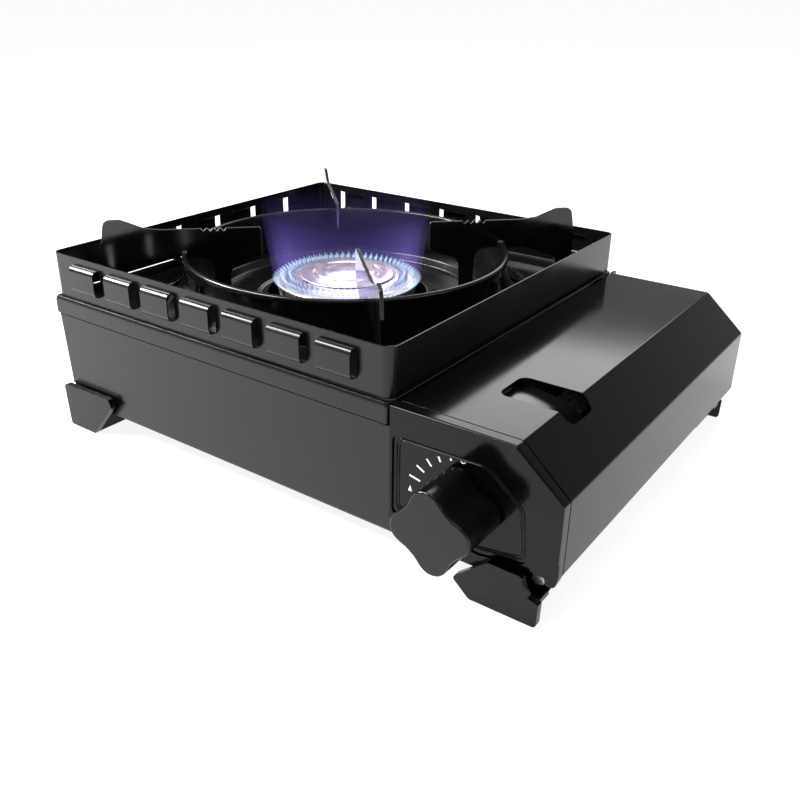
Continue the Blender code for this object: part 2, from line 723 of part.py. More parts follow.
def arm_outline():
    """An arm seen from the side: distance from the burner's axis, and height."""
    deck = WELL_FLOOR + FIT
    under = POT_HEIGHT - ARM_DEPTH
    arch = POT_HEIGHT - 17.8 * MM
    ring_low = RING_RADIUS - 2 * FIT
    ring_high = RING_RADIUS + SHEET + 1.5 * RING_ROLL + 2 * FIT
    leg_in, leg_out = INNER_LEG
    tray_top = WELL_FLOOR - TRAY_DROP + FIT + SHEET
    crest = POT_HEIGHT + CREST_RISE
    foot_in = ARM_OUTER - OUTER_LEG
    corners = [
        (ARM_INNER, POT_HEIGHT, 1.5 * MM),
        (ARM_INNER, POT_HEIGHT - 17 * MM, 2 * MM),
        (ARM_INNER + 7 * MM, under + 2.5 * MM, 2 * MM),
        (leg_in - 3 * MM, under, 3 * MM),
        (leg_in, under - 4 * MM, 2 * MM),
        (leg_in + 1 * MM, tray_top, 0),
        (leg_out, tray_top, 0),
        (leg_out, arch, 7 * MM),
        (ring_low, arch, 2 * MM),
        (ring_low, RING_TOP + 2 * FIT, 0.5 * MM),
        (ring_high, RING_TOP + 2 * FIT, 0.5 * MM),
        (ring_high, arch - 1 * MM, 0),
        (ring_high + 12 * MM, arch, 6 * MM),
        (foot_in, arch - 7.5 * MM, 3 * MM),
        (foot_in + 1 * MM, deck, 0),
        (ARM_OUTER, deck, 1 * MM),
        (ARM_OUTER - 0.5 * MM, POT_HEIGHT - 8 * MM, 8 * MM),
        (ARM_OUTER - 3.2 * MM, crest, 4 * MM),
        (ARM_OUTER - 13 * MM, crest, 5 * MM),
        (ARM_OUTER - 26 * MM, POT_HEIGHT + 1.2 * MM, 8 * MM),
        (ARM_OUTER - 36 * MM, POT_HEIGHT, 0),
    ]
    for index in range(NOTCHES):
        middle = leg_in + 15 * MM - index * NOTCH_PITCH
        corners += [
            (middle + 1.6 * MM, POT_HEIGHT, 0),
            (middle, POT_HEIGHT - NOTCH_DEPTH, 0),
            (middle - 1.6 * MM, POT_HEIGHT, 0),
        ]
    return filleted(corners, 3)


ARMS = {"front_left": -135, "front_right": -45, "rear_right": 45, "rear_left": 135}


def make_arms():
    outline = arm_outline()
    for side, degrees in ARMS.items():
        flat(
            f"trivet_arm_{side}", [outline], -STEEL_PLATE / 2, STEEL_PLATE / 2, "XZ", "gloss",
            at(CENTRE_X, CENTRE_Y, 0), math.radians(degrees)
        )


BRACKETS = {"front_left": -121.5, "left": -158.5, "right": 21.5, "rear_right": 58.5}


def bracket_section():
    """A ring bracket's section: it leaves the ring high up and sweeps down to a foot on the well floor."""
    start = RING_RADIUS + 2 * SHEET + FIT
    low = WELL_FLOOR + FIT
    reach = BRACKET_OUT - 3 * MM
    upper = []
    for step in range(6):
        angle = math.radians(90 * step / 5)
        fall = BRACKET_RISE * (1 - math.sin(angle))
        upper.append((start + reach * (1 - math.cos(angle)), low + SHEET + fall))
    upper.append((start + BRACKET_OUT, low + SHEET))
    return upper


def make_brackets():
    """Curved sheet brackets beside two opposite arms, which carry the ring."""
    upper = bracket_section()
    for side, degrees in BRACKETS.items():
        mesh = bpy.data.meshes.new(side)
        shape = bmesh.new()
        columns = []
        steps = 8
        for step in range(steps + 1):
            angle = math.radians(degrees) + BRACKET_ARC * (step / steps - 0.5)
            columns.append([
                shape.verts.new((radius * math.cos(angle), radius * math.sin(angle), height))
                for radius, height in upper
            ])
        for first, second in zip(columns, columns[1:]):
            for index in range(len(upper) - 1):
                shape.faces.new((first[index], first[index + 1], second[index + 1], second[index]))
        shape.to_mesh(mesh)
        shape.free()
        bracket = put(f"ring_bracket_{side}", mesh, "gloss")
        bracket.location = at(CENTRE_X, CENTRE_Y, 0)
        wall = bracket.modifiers.new("Wall", "SOLIDIFY")
        wall.thickness = SHEET
        wall.offset = -1


# ---------------------------------------------------------------- burner
def make_burner_body():
    """The cast bowl with its mixing tube in one piece."""
    top = HEAD_BOTTOM - FIT
    bowl = turned("burner_body", [
        (0, BOWL_BOTTOM + 4 * MM),
        (16 * MM, BOWL_BOTTOM + 5 * MM),
        (HEAD_RADIUS - 9 * MM, top - 7 * MM),
        (HEAD_RADIUS - 7 * MM, top),
        (HEAD_RADIUS - 1 * MM, top),
        (HEAD_RADIUS - 1 * MM, top - 3 * MM),
        (HEAD_RADIUS - 5 * MM, top - 8 * MM),
        (18 * MM, BOWL_BOTTOM + 1 * MM),
        (12 * MM, BOWL_BOTTOM),
        (0, BOWL_BOTTOM),
    ], (CENTRE_X, CENTRE_Y, 0), "aluminium", steps=40)
    tube = cylinder(
        "tube_body", TUBE_RADIUS, (CENTRE_X + 16 * MM, CENTRE_Y, TUBE_HEIGHT), TUBE_LENGTH - 16 * MM, "X"
    )
    bore = cylinder(
        "tube_bore", TUBE_RADIUS - TUBE_WALL, (CENTRE_X, CENTRE_Y, TUBE_HEIGHT), TUBE_LENGTH + 20 * MM, "X"
    )
    hollow = turned("bowl_hollow", [
        (0, top + 5 * MM),
        (HEAD_RADIUS - 7 * MM, top + 5 * MM),
        (HEAD_RADIUS - 9 * MM, top - 7 * MM),
        (16 * MM, BOWL_BOTTOM + 5 * MM),
        (0, BOWL_BOTTOM + 4 * MM),
    ], (CENTRE_X, CENTRE_Y, 0), steps=40)
    fuse(bowl, tube)
    return cut(bowl, hollow, bore)


def make_burner_head():
    top = HEAD_BOTTOM + HEAD_HEIGHT
    inner = CAP_RADIUS - 6 * MM
    turned("burner_port_ring", [
        (inner, top - 2 * MM),
        (inner + 1 * MM, top),
        (CAP_RADIUS + 1.5 * MM, top),
        (CAP_RADIUS + 4.5 * MM, top - 1 * MM),
        (HEAD_RADIUS - 3 * MM, top - 1.5 * MM),
        (HEAD_RADIUS, top - 3 * MM),
        (HEAD_RADIUS, HEAD_BOTTOM),
        (HEAD_RADIUS - 6 * MM, HEAD_BOTTOM),
        (HEAD_RADIUS - 8 * MM, top - 4 * MM),
        (inner, top - 4 * MM),
    ], (CENTRE_X, CENTRE_Y, 0), "steel", steps=48, closed=True)
    low = top + FIT
    turned("burner_cap", [
        (0, low + CAP_THICKNESS),
        (14 * MM, low + CAP_THICKNESS),
        (16 * MM, low + CAP_THICKNESS - 0.8 * MM),
        (CAP_RADIUS - 4 * MM, low + CAP_THICKNESS - 0.8 * MM),
        (CAP_RADIUS, low + 0.6 * MM),
        (CAP_RADIUS, low),
        (0, low),
    ], (CENTRE_X, CENTRE_Y, 0), "steel", steps=40)


def make_burner_stay():
    """The bridge that stands on the case floor and carries the burner bowl."""
    top = BOWL_BOTTOM - FIT
    low = CASE_FLOOR + FIT
    half = 34 * MM
    outer = [
        (CENTRE_Y - half - 9 * MM, low), (CENTRE_Y - half, low), (CENTRE_Y - half + 8 * MM, top - SHEET),
        (CENTRE_Y + half - 8 * MM, top - SHEET), (CENTRE_Y + half, low), (CENTRE_Y + half + 9 * MM, low),
        (CENTRE_Y + half + 9 * MM, low + SHEET), (CENTRE_Y + half + 1.2 * MM, low + SHEET),
        (CENTRE_Y + half - 7 * MM, top), (CENTRE_Y - half + 7 * MM, top),
        (CENTRE_Y - half - 1.2 * MM, low + SHEET), (CENTRE_Y - half - 9 * MM, low + SHEET),
    ]
    flat("burner_stay", [outer], CENTRE_X - 9 * MM, CENTRE_X + 9 * MM, "YZ", "steel")


def make_gas_line():
    """Jet, its holder, the air ring and the pipe that feeds it."""
    mouth = CENTRE_X + TUBE_LENGTH
    turned("jet_nozzle", [
        (0, 22 * MM), (3 * MM, 22 * MM), (3 * MM, 14 * MM), (JET_SEAT, 14 * MM), (JET_SEAT, 8 * MM),
        (3.6 * MM, 7 * MM), (3.6 * MM, 3 * MM), (1.6 * MM, 0.5 * MM), (JET_BORE, 0.5 * MM),
        (JET_BORE, 5 * MM), (0, 5 * MM),
    ], (mouth + 2 * MM, CENTRE_Y, TUBE_HEIGHT), "brass", "X", 16)
    holder = box(
        "jet_holder",
        (mouth + 12 * MM, CENTRE_Y - 12 * MM, CASE_FLOOR + FIT),
        (mouth + 13.2 * MM, CENTRE_Y + 12 * MM, TUBE_HEIGHT + 11 * MM),
        "steel",
    )
    seat = cylinder("jet_seat", JET_SEAT + FIT, (mouth, CENTRE_Y, TUBE_HEIGHT), 20 * MM, "X")
    cut(holder, seat)
    turned("air_shutter", [
        (TUBE_RADIUS + FIT, 14 * MM), (TUBE_RADIUS + FIT + SHEET, 14 * MM),
        (TUBE_RADIUS + FIT + SHEET, 0), (TUBE_RADIUS + FIT, 0),
    ], (mouth - 16 * MM, CENTRE_Y, TUBE_HEIGHT), "steel", "X", 32, closed=True)
    start = mouth + 24.3 * MM
    turn_x = min(PARTITION_X - 3 * PIPE_RADIUS, start + 6 * MM)
    rod("gas_pipe", bent([
        at(start, CENTRE_Y, TUBE_HEIGHT),
        at(turn_x, CENTRE_Y, TUBE_HEIGHT),
        at(turn_x, PIPE_Y + 14 * MM, TUBE_HEIGHT),
        at(turn_x, PIPE_Y, PIPE_Z),
        at(REGULATOR_LEFT - FIT, PIPE_Y, PIPE_Z),
    ], 9 * MM), PIPE_RADIUS, "copper")


# ---------------------------------------------------------------- regulator, knob and igniter
PIPE_Y = 32 * MM
PIPE_Z = 52 * MM
PIEZO_Y = 8 * MM
REGULATOR_LEFT = KNOB_X - 19.5 * MM
REGULATOR_FRONT = 14 * MM
REGULATOR_REAR = 44 * MM
CAM_RADIUS = 10.0 * MM
CAM_LOBE = 12.8 * MM
CAM_LEAD = math.radians(15)
PLUNGER_RADIUS = 2.5 * MM
VALVE_PIN_RADIUS = 1.6 * MM
SOCKET_LENGTH = 8 * MM
PANEL_Y = 152 * MM
PANEL_WIDTH = 40 * MM


def make_regulator():
    body = soften(box(
        "regulator_body",
        (REGULATOR_LEFT, REGULATOR_FRONT, KNOB_CENTRE_Z - 17 * MM),
        (REGULATOR_LEFT + 39 * MM, REGULATOR_REAR, CAN_CENTRE_Z + 12 * MM),
        "zinc",
    ), 2 * MM)
    chamber = cylinder(
        "cam_chamber", 9 * MM + RUNNING_FIT, (KNOB_X, REGULATOR_FRONT - 5 * MM, KNOB_CENTRE_Z), 13.4 * MM, "Y"
    )
    bore = cylinder(
        "pin_bore", VALVE_PIN_RADIUS + RUNNING_FIT,
        (KNOB_X, REGULATOR_FRONT + 4 * MM, CAN_CENTRE_Z), 60 * MM, "Y"
    )
    cut(body, chamber, bore)
    turned("regulator_cover", [
        (0, 7 * MM), (9 * MM, 7 * MM), (11 * MM, 3 * MM), (15 * MM, 3 * MM), (15 * MM, 0), (0, 0),
    ], (KNOB_X, (REGULATOR_FRONT + REGULATOR_REAR) / 2, CAN_CENTRE_Z + 12 * MM + FIT), "zinc", steps=32)


def make_cartridge_socket():
    """The ring that the cartridge's collar meets, with a key for the collar's notch and two magnets."""
    start = REGULATOR_REAR + FIT
    ring = turned("cartridge_socket", [
        (10 * MM, SOCKET_LENGTH), (22 * MM, SOCKET_LENGTH), (22 * MM, 0), (10 * MM, 0),
    ], (KNOB_X, start, CAN_CENTRE_Z), "zinc", "Y", 40, closed=True)
    key = box(
        "cartridge_key",
        (KNOB_X - 3 * MM, start + 2 * MM, CAN_CENTRE_Z + 20 * MM),
        (KNOB_X + 3 * MM, start + SOCKET_LENGTH + 4 * MM, CAN_CENTRE_Z + 24 * MM),
    )
    fuse(ring, key)
    for side, shift in (("left", -16 * MM), ("right", 16 * MM)):
        pocket = cylinder(
            f"magnet_pocket_{side}", 4 * MM + FIT,
            (KNOB_X + shift, start + 3.7 * MM, CAN_CENTRE_Z), SOCKET_LENGTH, "Y", segments=20
        )
        cut(ring, pocket)
        cylinder(
            f"magnet_{side}", 4 * MM, (KNOB_X + shift, start + 4 * MM, CAN_CENTRE_Z),
            SOCKET_LENGTH - 4 * MM, "Y", "magnet", 20
        )
    turned("socket_seal", [
        (2.8 * MM, 3 * MM), (8 * MM, 3 * MM), (8 * MM, 0), (2.8 * MM, 0),
    ], (KNOB_X, start, CAN_CENTRE_Z), "rubber", "Y", 24, closed=True)
    cylinder(
        "valve_pin", VALVE_PIN_RADIUS, (KNOB_X, REGULATOR_FRONT + 10.2 * MM, CAN_CENTRE_Z),
        REGULATOR_REAR - REGULATOR_FRONT - 4 * MM, "Y", "brass", 16
    )


def knob_outline():
    """Four broad lobes with hollows between them."""
    steps = 16 * KNOB_LOBES
    mean = (KNOB_LOBE + KNOB_WAIST) / 2
    swing = (KNOB_LOBE - KNOB_WAIST) / 2
    points = []
    for step in range(steps):
        angle = 2 * math.pi * step / steps
        wave = math.cos(KNOB_LOBES * (angle - KNOB_TURN))
        broad = wave * (1.18 - 0.18 * wave * wave)
        radius = mean + swing * broad
        points.append((radius * math.cos(angle), radius * math.sin(angle)))
    return points


def make_knob():
    """Knob, spindle and cam, which turn together on the knob's axis."""
    axle = bpy.data.objects.new("knob_axis", None)
    PIECES.objects.link(axle)
    axle.location = at(KNOB_X, 0, KNOB_CENTRE_Z)
    knob = flat(
        "knob", [knob_outline()], 0, KNOB_REACH - KNOB_GAP, "XZ", "satin",
        at(KNOB_X, -(KNOB_REACH + KNOB_GAP) / 2, KNOB_CENTRE_Z)
    )
    soften(knob, 1.6 * MM, 2, 50)
    socket = cylinder(
        "knob_socket", SPINDLE_RADIUS + 0.1 * MM,
        (KNOB_X, -KNOB_REACH + 7 * MM, KNOB_CENTRE_Z), KNOB_REACH, "Y"
    )
    cut(knob, socket)
    spindle = turned("valve_spindle", [
        (0, 22 * MM), (9 * MM, 22 * MM), (9 * MM, 18 * MM), (SPINDLE_RADIUS, 18 * MM),
        (SPINDLE_RADIUS, -KNOB_REACH + 7.4 * MM), (0, -KNOB_REACH + 7.4 * MM),
    ], (KNOB_X, 0, KNOB_CENTRE_Z), "brass", "Y", 24)
    lobe = filleted([
        (CAM_RADIUS * math.cos(angle), CAM_RADIUS * math.sin(angle), 0)
        for angle in (math.radians(step) for step in range(-150, 151, 15))
    ] + [(-CAM_LOBE, -3 * MM, 1.5 * MM), (-CAM_LOBE, 3 * MM, 1.5 * MM)][::-1])
    bore = [
        ((SPINDLE_RADIUS + 0.1 * MM) * math.cos(angle), (SPINDLE_RADIUS + 0.1 * MM) * math.sin(angle))
        for angle in (math.radians(step) for step in range(0, 360, 15))
    ]
    cam = flat(
        "igniter_cam", [lobe, bore], -2 * MM, 2 * MM, "XZ", "plastic",
        at(KNOB_X, PIEZO_Y, KNOB_CENTRE_Z)
    )
    cam.rotation_euler.y += CAM_LEAD
    bpy.context.view_layer.update()
    for piece in (knob, spindle, cam):
        place = piece.matrix_world.copy()
        piece.parent = axle
        piece.matrix_parent_inverse = axle.matrix_world.inverted()
        piece.matrix_world = place


def make_igniter():
    right = KNOB_X - CAM_LOBE - 0.6 * MM
    body = box(
        "piezo_body",
        (right - 24 * MM, PIEZO_Y - 4.5 * MM, KNOB_CENTRE_Z - 4.5 * MM),
        (right - 6 * MM, PIEZO_Y + 4.5 * MM, KNOB_CENTRE_Z + 4.5 * MM),
        "plastic",
    )
    guide = cylinder(
        "plunger_guide", PLUNGER_RADIUS + RUNNING_FIT,
        (right - 14 * MM, PIEZO_Y, KNOB_CENTRE_Z), 12 * MM, "X", segments=16
    )
    cut(body, guide)
    cylinder(
        "piezo_plunger", PLUNGER_RADIUS, (right - 8 * MM, PIEZO_Y, KNOB_CENTRE_Z), 8 * MM, "X", "plastic", 16
    )
    electrode_angle = math.radians(-105)
    electrode_radius = HEAD_RADIUS + 3.6 * MM
    x = CENTRE_X + electrode_radius * math.cos(electrode_angle)
    y = CENTRE_Y + electrode_radius * math.sin(electrode_angle)
    insulator_low = 60 * MM
    turned("electrode_insulator", [
        (0, 20 * MM), (1.9 * MM, 20 * MM), (2.4 * MM, 14 * MM), (2.4 * MM, 6 * MM), (1.8 * MM, 0), (0, 0),
    ], (x, y, insulator_low), "ceramic", steps=16)
    tip = HEAD_BOTTOM + HEAD_HEIGHT - 1.5 * MM
    cylinder("electrode_pin", 0.9 * MM, (x, y, insulator_low + 20 * MM + FIT), tip - insulator_low - 20 * MM,
             "Z", "steel", 12)
    clip = box(
        "electrode_bracket",
        (x - 5 * MM, y - 5 * MM, insulator_low + 8 * MM),
        (x + 5 * MM, CENTRE_Y - TUBE_RADIUS, insulator_low + 9 * MM),
        "steel",
    )
    seat = cylinder("insulator_seat", 2.4 * MM + FIT, (x, y, insulator_low), 20 * MM, segments=16)
    bowl_room = cylinder(
        "bowl_room", HEAD_RADIUS - 5 * MM, (CENTRE_X, CENTRE_Y, BOWL_BOTTOM - 5 * MM), 40 * MM, segments=40
    )
    cut(clip, seat, bowl_room)
    floor = CASE_FLOOR + FIT + WIRE_RADIUS
    rod("igniter_wire", bent([
        at(right - 24 * MM - FIT, PIEZO_Y, KNOB_CENTRE_Z),
        at(PARTITION_X - 12 * MM, PIEZO_Y, KNOB_CENTRE_Z),
        at(PARTITION_X - 20 * MM, PIEZO_Y + 4 * MM, floor + 8 * MM),
        at(PARTITION_X - 34 * MM, PIEZO_Y + 8 * MM, floor),
        at(x + 30 * MM, PIEZO_Y + 14 * MM, floor),
        at(x + 2 * MM, y - 26 * MM, floor),
        at(x, y, floor + 14 * MM),
        at(x, y, insulator_low - FIT),
    ], 12 * MM, 3), WIRE_RADIUS, "rubber")


def make_heat_panel():
    """The strip that carries a little burner heat to the cartridge, and cradles its flank."""
    low = CASE_FLOOR + 2 * FIT
    inner = CENTRE_X + 46 * MM
    rise = CAN_CENTRE_Z - 19 * MM
    outer_x = KNOB_X - 19.5 * MM
    middle = [
        (inner, low + 30 * MM), (inner + 11 * MM, low), (outer_x, low), (outer_x - 10 * MM, rise),
    ]
    upper = [
        (inner + SHEET, low + 30 * MM), (inner + 11.8 * MM, low + SHEET), (outer_x - 1.6 * MM, low + SHEET),
        (outer_x - 10.9 * MM, rise - 0.5 * MM),
    ]
    flat("heat_panel", [middle + upper[::-1]], PANEL_Y, PANEL_Y + PANEL_WIDTH, "XZ", "aluminium")


def make_can_rail():
    """The folded rail on the floor that keeps the cartridge in line on its right."""
    low = CASE_FLOOR + FIT
    foot = KNOB_X + 24 * MM
    outline = [
        (foot, low), (foot + 8 * MM, low), (foot + 9.5 * MM, low + 14 * MM),
        (foot + 8.5 * MM, low + 14 * MM),
        (foot + 7.1 * MM, low + SHEET), (foot, low + SHEET),
    ]
    flat("cartridge_rail", [outline], 80 * MM, CASE_DEPTH - 40 * MM, "XZ", "steel")


# ---------------------------------------------------------------- lid
def make_lid():
    outer = bay_outline(0)
    inner = bay_outline(SHEET)
    start = outer[0][0] + LID_START
    outline = filleted([
        (start, outer[0][1], 0),
        (*outer[1], 2 * MM),
        (*outer[2], 2 * MM),
        (WIDTH, LID_SKIRT, 0),
        (WIDTH - SHEET, LID_SKIRT, 0),
        (*inner[2], 1 * MM),
        (*inner[1], 1 * MM),
        (start, inner[0][1], 0),
    ], 3)
    lid = flat("cartridge_lid", [outline], LID_FRONT, LID_REAR, "XZ", "gloss")
    slot = soften(box(
        "finger_slot",
        (WIDTH - LID_FOLD_IN - 32 * MM, 40 * MM, LID_TOP - 9.5 * MM),
        (WIDTH - LID_FOLD_IN + 7 * MM, 65 * MM, LID_TOP + 5 * MM),
    ), 5 * MM, 4, 30)
    for end, start_y in (("front", LID_FRONT + FIT), ("rear", LID_REAR - SHEET - FIT)):
        ear = flat(f"lid_ear_{end}", [filleted([
            (start, LID_TOP - 0.5 * MM, 0),
            (start, HINGE_Z - 2.2 * MM, 1.6 * MM),
            (HINGE_X + 3.0 * MM, HINGE_Z - 2.9 * MM, 2.4 * MM),
            (HINGE_X + 5.5 * MM, LID_TOP - 0.5 * MM, 0),
        ])], start_y, start_y + SHEET, "XZ")
        fuse(lid, ear)
    holes = cylinder(
        "ear_holes", PIN_RADIUS + RUNNING_FIT, (HINGE_X, 0, HINGE_Z), CASE_DEPTH, "Y", segments=20
    )
    cut(lid, slot, holes)
    return lid


def make_slot_guide():
    """The finger guide under the slot, a shallow channel that follows the fold."""
    low_y, high_y = 38.5 * MM, 66.5 * MM
    left = WIDTH - LID_FOLD_IN - 37 * MM
    top = LID_TOP - SHEET - FIT
    path = [
        (left, top), (left + 4 * MM, top - 3.2 * MM), (left + 16 * MM, top - 4.2 * MM),
        (left + 27 * MM, top - 6.0 * MM), (left + 36 * MM, top - 10.5 * MM),
        (left + 44 * MM, top - 17.5 * MM),
    ]
    lower = [(x - 0.3 * MM, z - SHEET) for x, z in reversed(path)]
    guide = flat("slot_guide", [path + lower], low_y, high_y, "XZ", "plastic")
    return guide


def make_hinge_pins():
    rear_start = CASE_DEPTH - SHEET - FIT - PIN_LENGTH
    for end, start in (("front", CASE_FACE_INSET + BAND_STEP + SHEET + FIT), ("rear", rear_start)):
        cylinder(f"hinge_pin_{end}", PIN_RADIUS, (HINGE_X, start, HINGE_Z), PIN_LENGTH, "Y", "steel", 16)


# ---------------------------------------------------------------- feet
def foot_wing(on_left):
    """A foot's outline along one wall: distance from the corner, and height."""
    spread = FOOT_SPREAD
    if on_left:
        return filleted([
            (0, CASE_BAND - 1.2 * MM, 2 * MM), (1.6 * MM, WING_STEP, 2 * MM),
            (spread - 20.2 * MM, WING_STEP, 2.5 * MM),
            (spread, CASE_BAND - 5.4 * MM, 2 * MM), (spread - 2.1 * MM, CASE_BAND - 0.4 * MM, 1.5 * MM),
        ], 3)
    return filleted([
        (-0.3 * MM, CASE_BOTTOM - 1.8 * MM, 0.6 * MM), (0, WING_STEP, 2 * MM),
        (spread - 9.8 * MM, WING_STEP, 2 * MM),
        (spread, 9.1 * MM, 2 * MM), (spread - 18.7 * MM, CASE_BAND - 4.2 * MM, 3 * MM),
        (8.9 * MM, CASE_BAND - 4.4 * MM, 1.5 * MM), (8.3 * MM, CASE_BAND - 8.5 * MM, 3 * MM),
        (5.1 * MM, CASE_BOTTOM - 0.3 * MM, 1.5 * MM),
    ], 3)


def foot_screw_spot(on_left, in_front):
    """Where a foot's screw stands, in x and y."""
    x = FOOT_LEFT + FOOT_SCREW_IN if on_left else FOOT_RIGHT - FOOT_SCREW_IN
    y = FOOT_SCREW_IN if in_front else CASE_DEPTH - FOOT_SCREW_IN
    return x, y


def build_foot(name, on_left, in_front):
    """A corner foot: a wing that stands in front of the wall, and a block with a shelf under the case."""
    sign_x = 1 if on_left else -1
    sign_y = 1 if in_front else -1
    corner_x = FOOT_LEFT if on_left else FOOT_RIGHT
    corner_y = -FOOT_STANDOFF if in_front else CASE_DEPTH + REAR_REACH
    face_y = -FIT if in_front else CASE_DEPTH + FIT
    wing = [(corner_x + sign_x * distance, height) for distance, height in foot_wing(on_left)]
    low_y, high_y = sorted((corner_y, face_y))
    foot = flat(f"foot_{name}", [wing if on_left else wing[::-1]], low_y, high_y, "XZ", "gloss")
    block_x = sorted((corner_x + sign_x * BLOCK_IN, corner_x + sign_x * (BLOCK_IN + BLOCK_SIZE)))
    block_y = sorted((corner_y + sign_y * WING_STEP, corner_y + sign_y * (BLOCK_IN + BLOCK_SIZE)))
    block = box(
        f"foot_block_{name}", (block_x[0], block_y[0], 0.0), (block_x[1], block_y[1], CASE_BOTTOM - FIT)
    )
    shelf_x = sorted((corner_x + sign_x * 2 * WING_STEP, corner_x + sign_x * (BLOCK_IN + 2 * MM)))
    shelf_y = sorted((corner_y + sign_y * 2 * WING_STEP, corner_y + sign_y * SHELF_DEPTH))
    shelf = box(
        f"foot_shelf_{name}",
        (shelf_x[0], shelf_y[0], CASE_BOTTOM - 4 * MM), (shelf_x[1], shelf_y[1], CASE_BOTTOM - 1.4 * MM),
    )
    fuse(foot, block, shelf)
    screw_x, screw_y = foot_screw_spot(on_left, in_front)
    well = cylinder(f"screw_well_{name}", 4.4 * MM, (screw_x, screw_y, -5 * MM), 12 * MM, segments=20)
    shank = cylinder(
        f"screw_way_{name}", FOOT_SCREW_RADIUS + RUNNING_FIT,
        (screw_x, screw_y, -5 * MM), 40 * MM, segments=16
    )
    cut(foot, well, shank)
    head = 2.2 * MM
    turned(f"foot_screw_{name}", [
        (0, 12 * MM), (FOOT_SCREW_RADIUS, 12 * MM), (FOOT_SCREW_RADIUS, head), (3.8 * MM, head),
        (3.8 * MM, 0.6 * MM), (2.8 * MM, 0), (0, 0),
    ], (screw_x, screw_y, 7 * MM - head - FIT), "steel", steps=16)


def make_feet():
    for name, (on_left, in_front) in FEET.items():
        build_foot(name, on_left, in_front)


def make_corner_screw():
    """The screw that shows in the recess at the right front corner."""
    head = 2.0 * MM
    turned("corner_screw", [
        (0, head), (3.4 * MM, head), (3.4 * MM, 0.6 * MM), (2.4 * MM, 0), (0, 0),
    ], (WIDTH - 10.6 * MM, CORNER_RECESS - head - FIT, LID_SKIRT - 5.5 * MM), "steel", "Y", 16)


def build():
    make_case()
    make_top_plate()
    make_drip_tray()
    make_partition()
    make_wind_shield()
    make_wind_ring()
    make_arms()
    make_brackets()
    make_burner_body()
    make_burner_head()
    make_burner_stay()
    make_gas_line()
    make_regulator()
    make_cartridge_socket()
    make_knob()
    make_igniter()
    make_heat_panel()
    make_can_rail()
    make_lid()
    make_slot_guide()
    make_hinge_pins()
    make_feet()
    make_corner_screw()


clear_scene()
PIECES = collection("camping_stove")
CUTTERS = collection("cutters")
build()
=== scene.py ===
# %% [markdown]
# # A gas camping stove, dressed for the camera
# The solids of the stove come in as a fixed frame: one mesh for each piece, grouped in bodies that move.
# This lesson gives them their finishes, and models again, finer, the pieces that the eye goes to first:
# the louvred wind shield, the wind ring, the tray, the burner, the knob and the dial.

# %% Load the frame
import json
import math

import bmesh
import bpy
from mathutils import Matrix, Vector


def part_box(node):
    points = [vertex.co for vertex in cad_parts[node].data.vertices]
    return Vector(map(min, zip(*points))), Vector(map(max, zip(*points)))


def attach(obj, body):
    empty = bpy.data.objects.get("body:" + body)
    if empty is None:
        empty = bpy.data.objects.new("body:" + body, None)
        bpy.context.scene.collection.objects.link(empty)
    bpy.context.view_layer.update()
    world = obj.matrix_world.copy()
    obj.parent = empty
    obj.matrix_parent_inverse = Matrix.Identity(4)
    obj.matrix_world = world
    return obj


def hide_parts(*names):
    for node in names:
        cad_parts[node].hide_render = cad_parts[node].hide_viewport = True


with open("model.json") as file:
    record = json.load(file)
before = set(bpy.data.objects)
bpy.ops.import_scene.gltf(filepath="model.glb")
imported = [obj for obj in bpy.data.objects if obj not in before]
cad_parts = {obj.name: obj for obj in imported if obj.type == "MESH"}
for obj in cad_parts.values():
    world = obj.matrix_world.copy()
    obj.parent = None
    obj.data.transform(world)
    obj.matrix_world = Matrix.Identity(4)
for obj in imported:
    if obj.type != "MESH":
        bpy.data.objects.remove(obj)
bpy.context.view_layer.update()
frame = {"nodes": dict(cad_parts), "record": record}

NODES = frame["nodes"]
SLOT_OF = {part["node"]: part["material_slot"] for part in frame["record"]["subparts"]}
BODY_OF = {node: body for body, nodes in frame["record"]["behaviour"]["bodies"].items() for node in nodes}

# %% [markdown]
# ## Places and sizes
# Lengths are easiest to read in millimetres, so every helper here takes millimetres and turns them into
# metres itself. Places on the stove are read from the CAD pieces, so that a new piece fits by itself.

# %% Sizes read from the CAD pieces
MM = 0.001
SHEET = 0.8


def box_mm(node):
    """The lowest and highest corner of a CAD piece, in millimetres."""
    low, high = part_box(node)
    return Vector(low) / MM, Vector(high) / MM


RING_LOW, RING_HIGH = box_mm("wind_ring")
AXIS = (RING_LOW + RING_HIGH) / 2
PLATE_LOW, PLATE_HIGH = box_mm("top_plate")
CASE_LOW = box_mm("lower_case")[0]
KNOB_LOW, KNOB_HIGH = box_mm("knob")
SHIELD_LOW, SHIELD_HIGH = box_mm("wind_shield")
print(f"burner axis at {AXIS.x:.1f}, {AXIS.y:.1f} mm")
print(f"shield {SHIELD_LOW.z:.1f} to {SHIELD_HIGH.z:.1f} mm high")

# %% [markdown]
# ## Working helpers
# An operator acts on everything that is selected, so each step starts by selecting one object only.
# A finished piece keeps its place in its mesh and rides on the body that it belongs to.


# %% Selecting and finishing
def only(piece=None):
    """Selects nothing but this object."""
    if bpy.context.object and bpy.context.object.mode != "OBJECT":
        bpy.ops.object.mode_set(mode="OBJECT")
    bpy.ops.object.select_all(action="DESELECT")
    if piece:
        piece.select_set(True)
        bpy.context.view_layer.objects.active = piece


def added(name):
    """Names the primitive that was just added."""
    piece = bpy.context.object
    piece.name = name
    piece.data.name = name
    return piece


def edit(piece, mode="EDGE"):
    """Opens edit mode with nothing selected, and gives the mesh to select in."""
    only(piece)
    bpy.ops.object.mode_set(mode="EDIT")
    bpy.ops.mesh.select_mode(type=mode)
    bpy.ops.mesh.select_all(action="DESELECT")
    return bmesh.from_edit_mesh(piece.data)


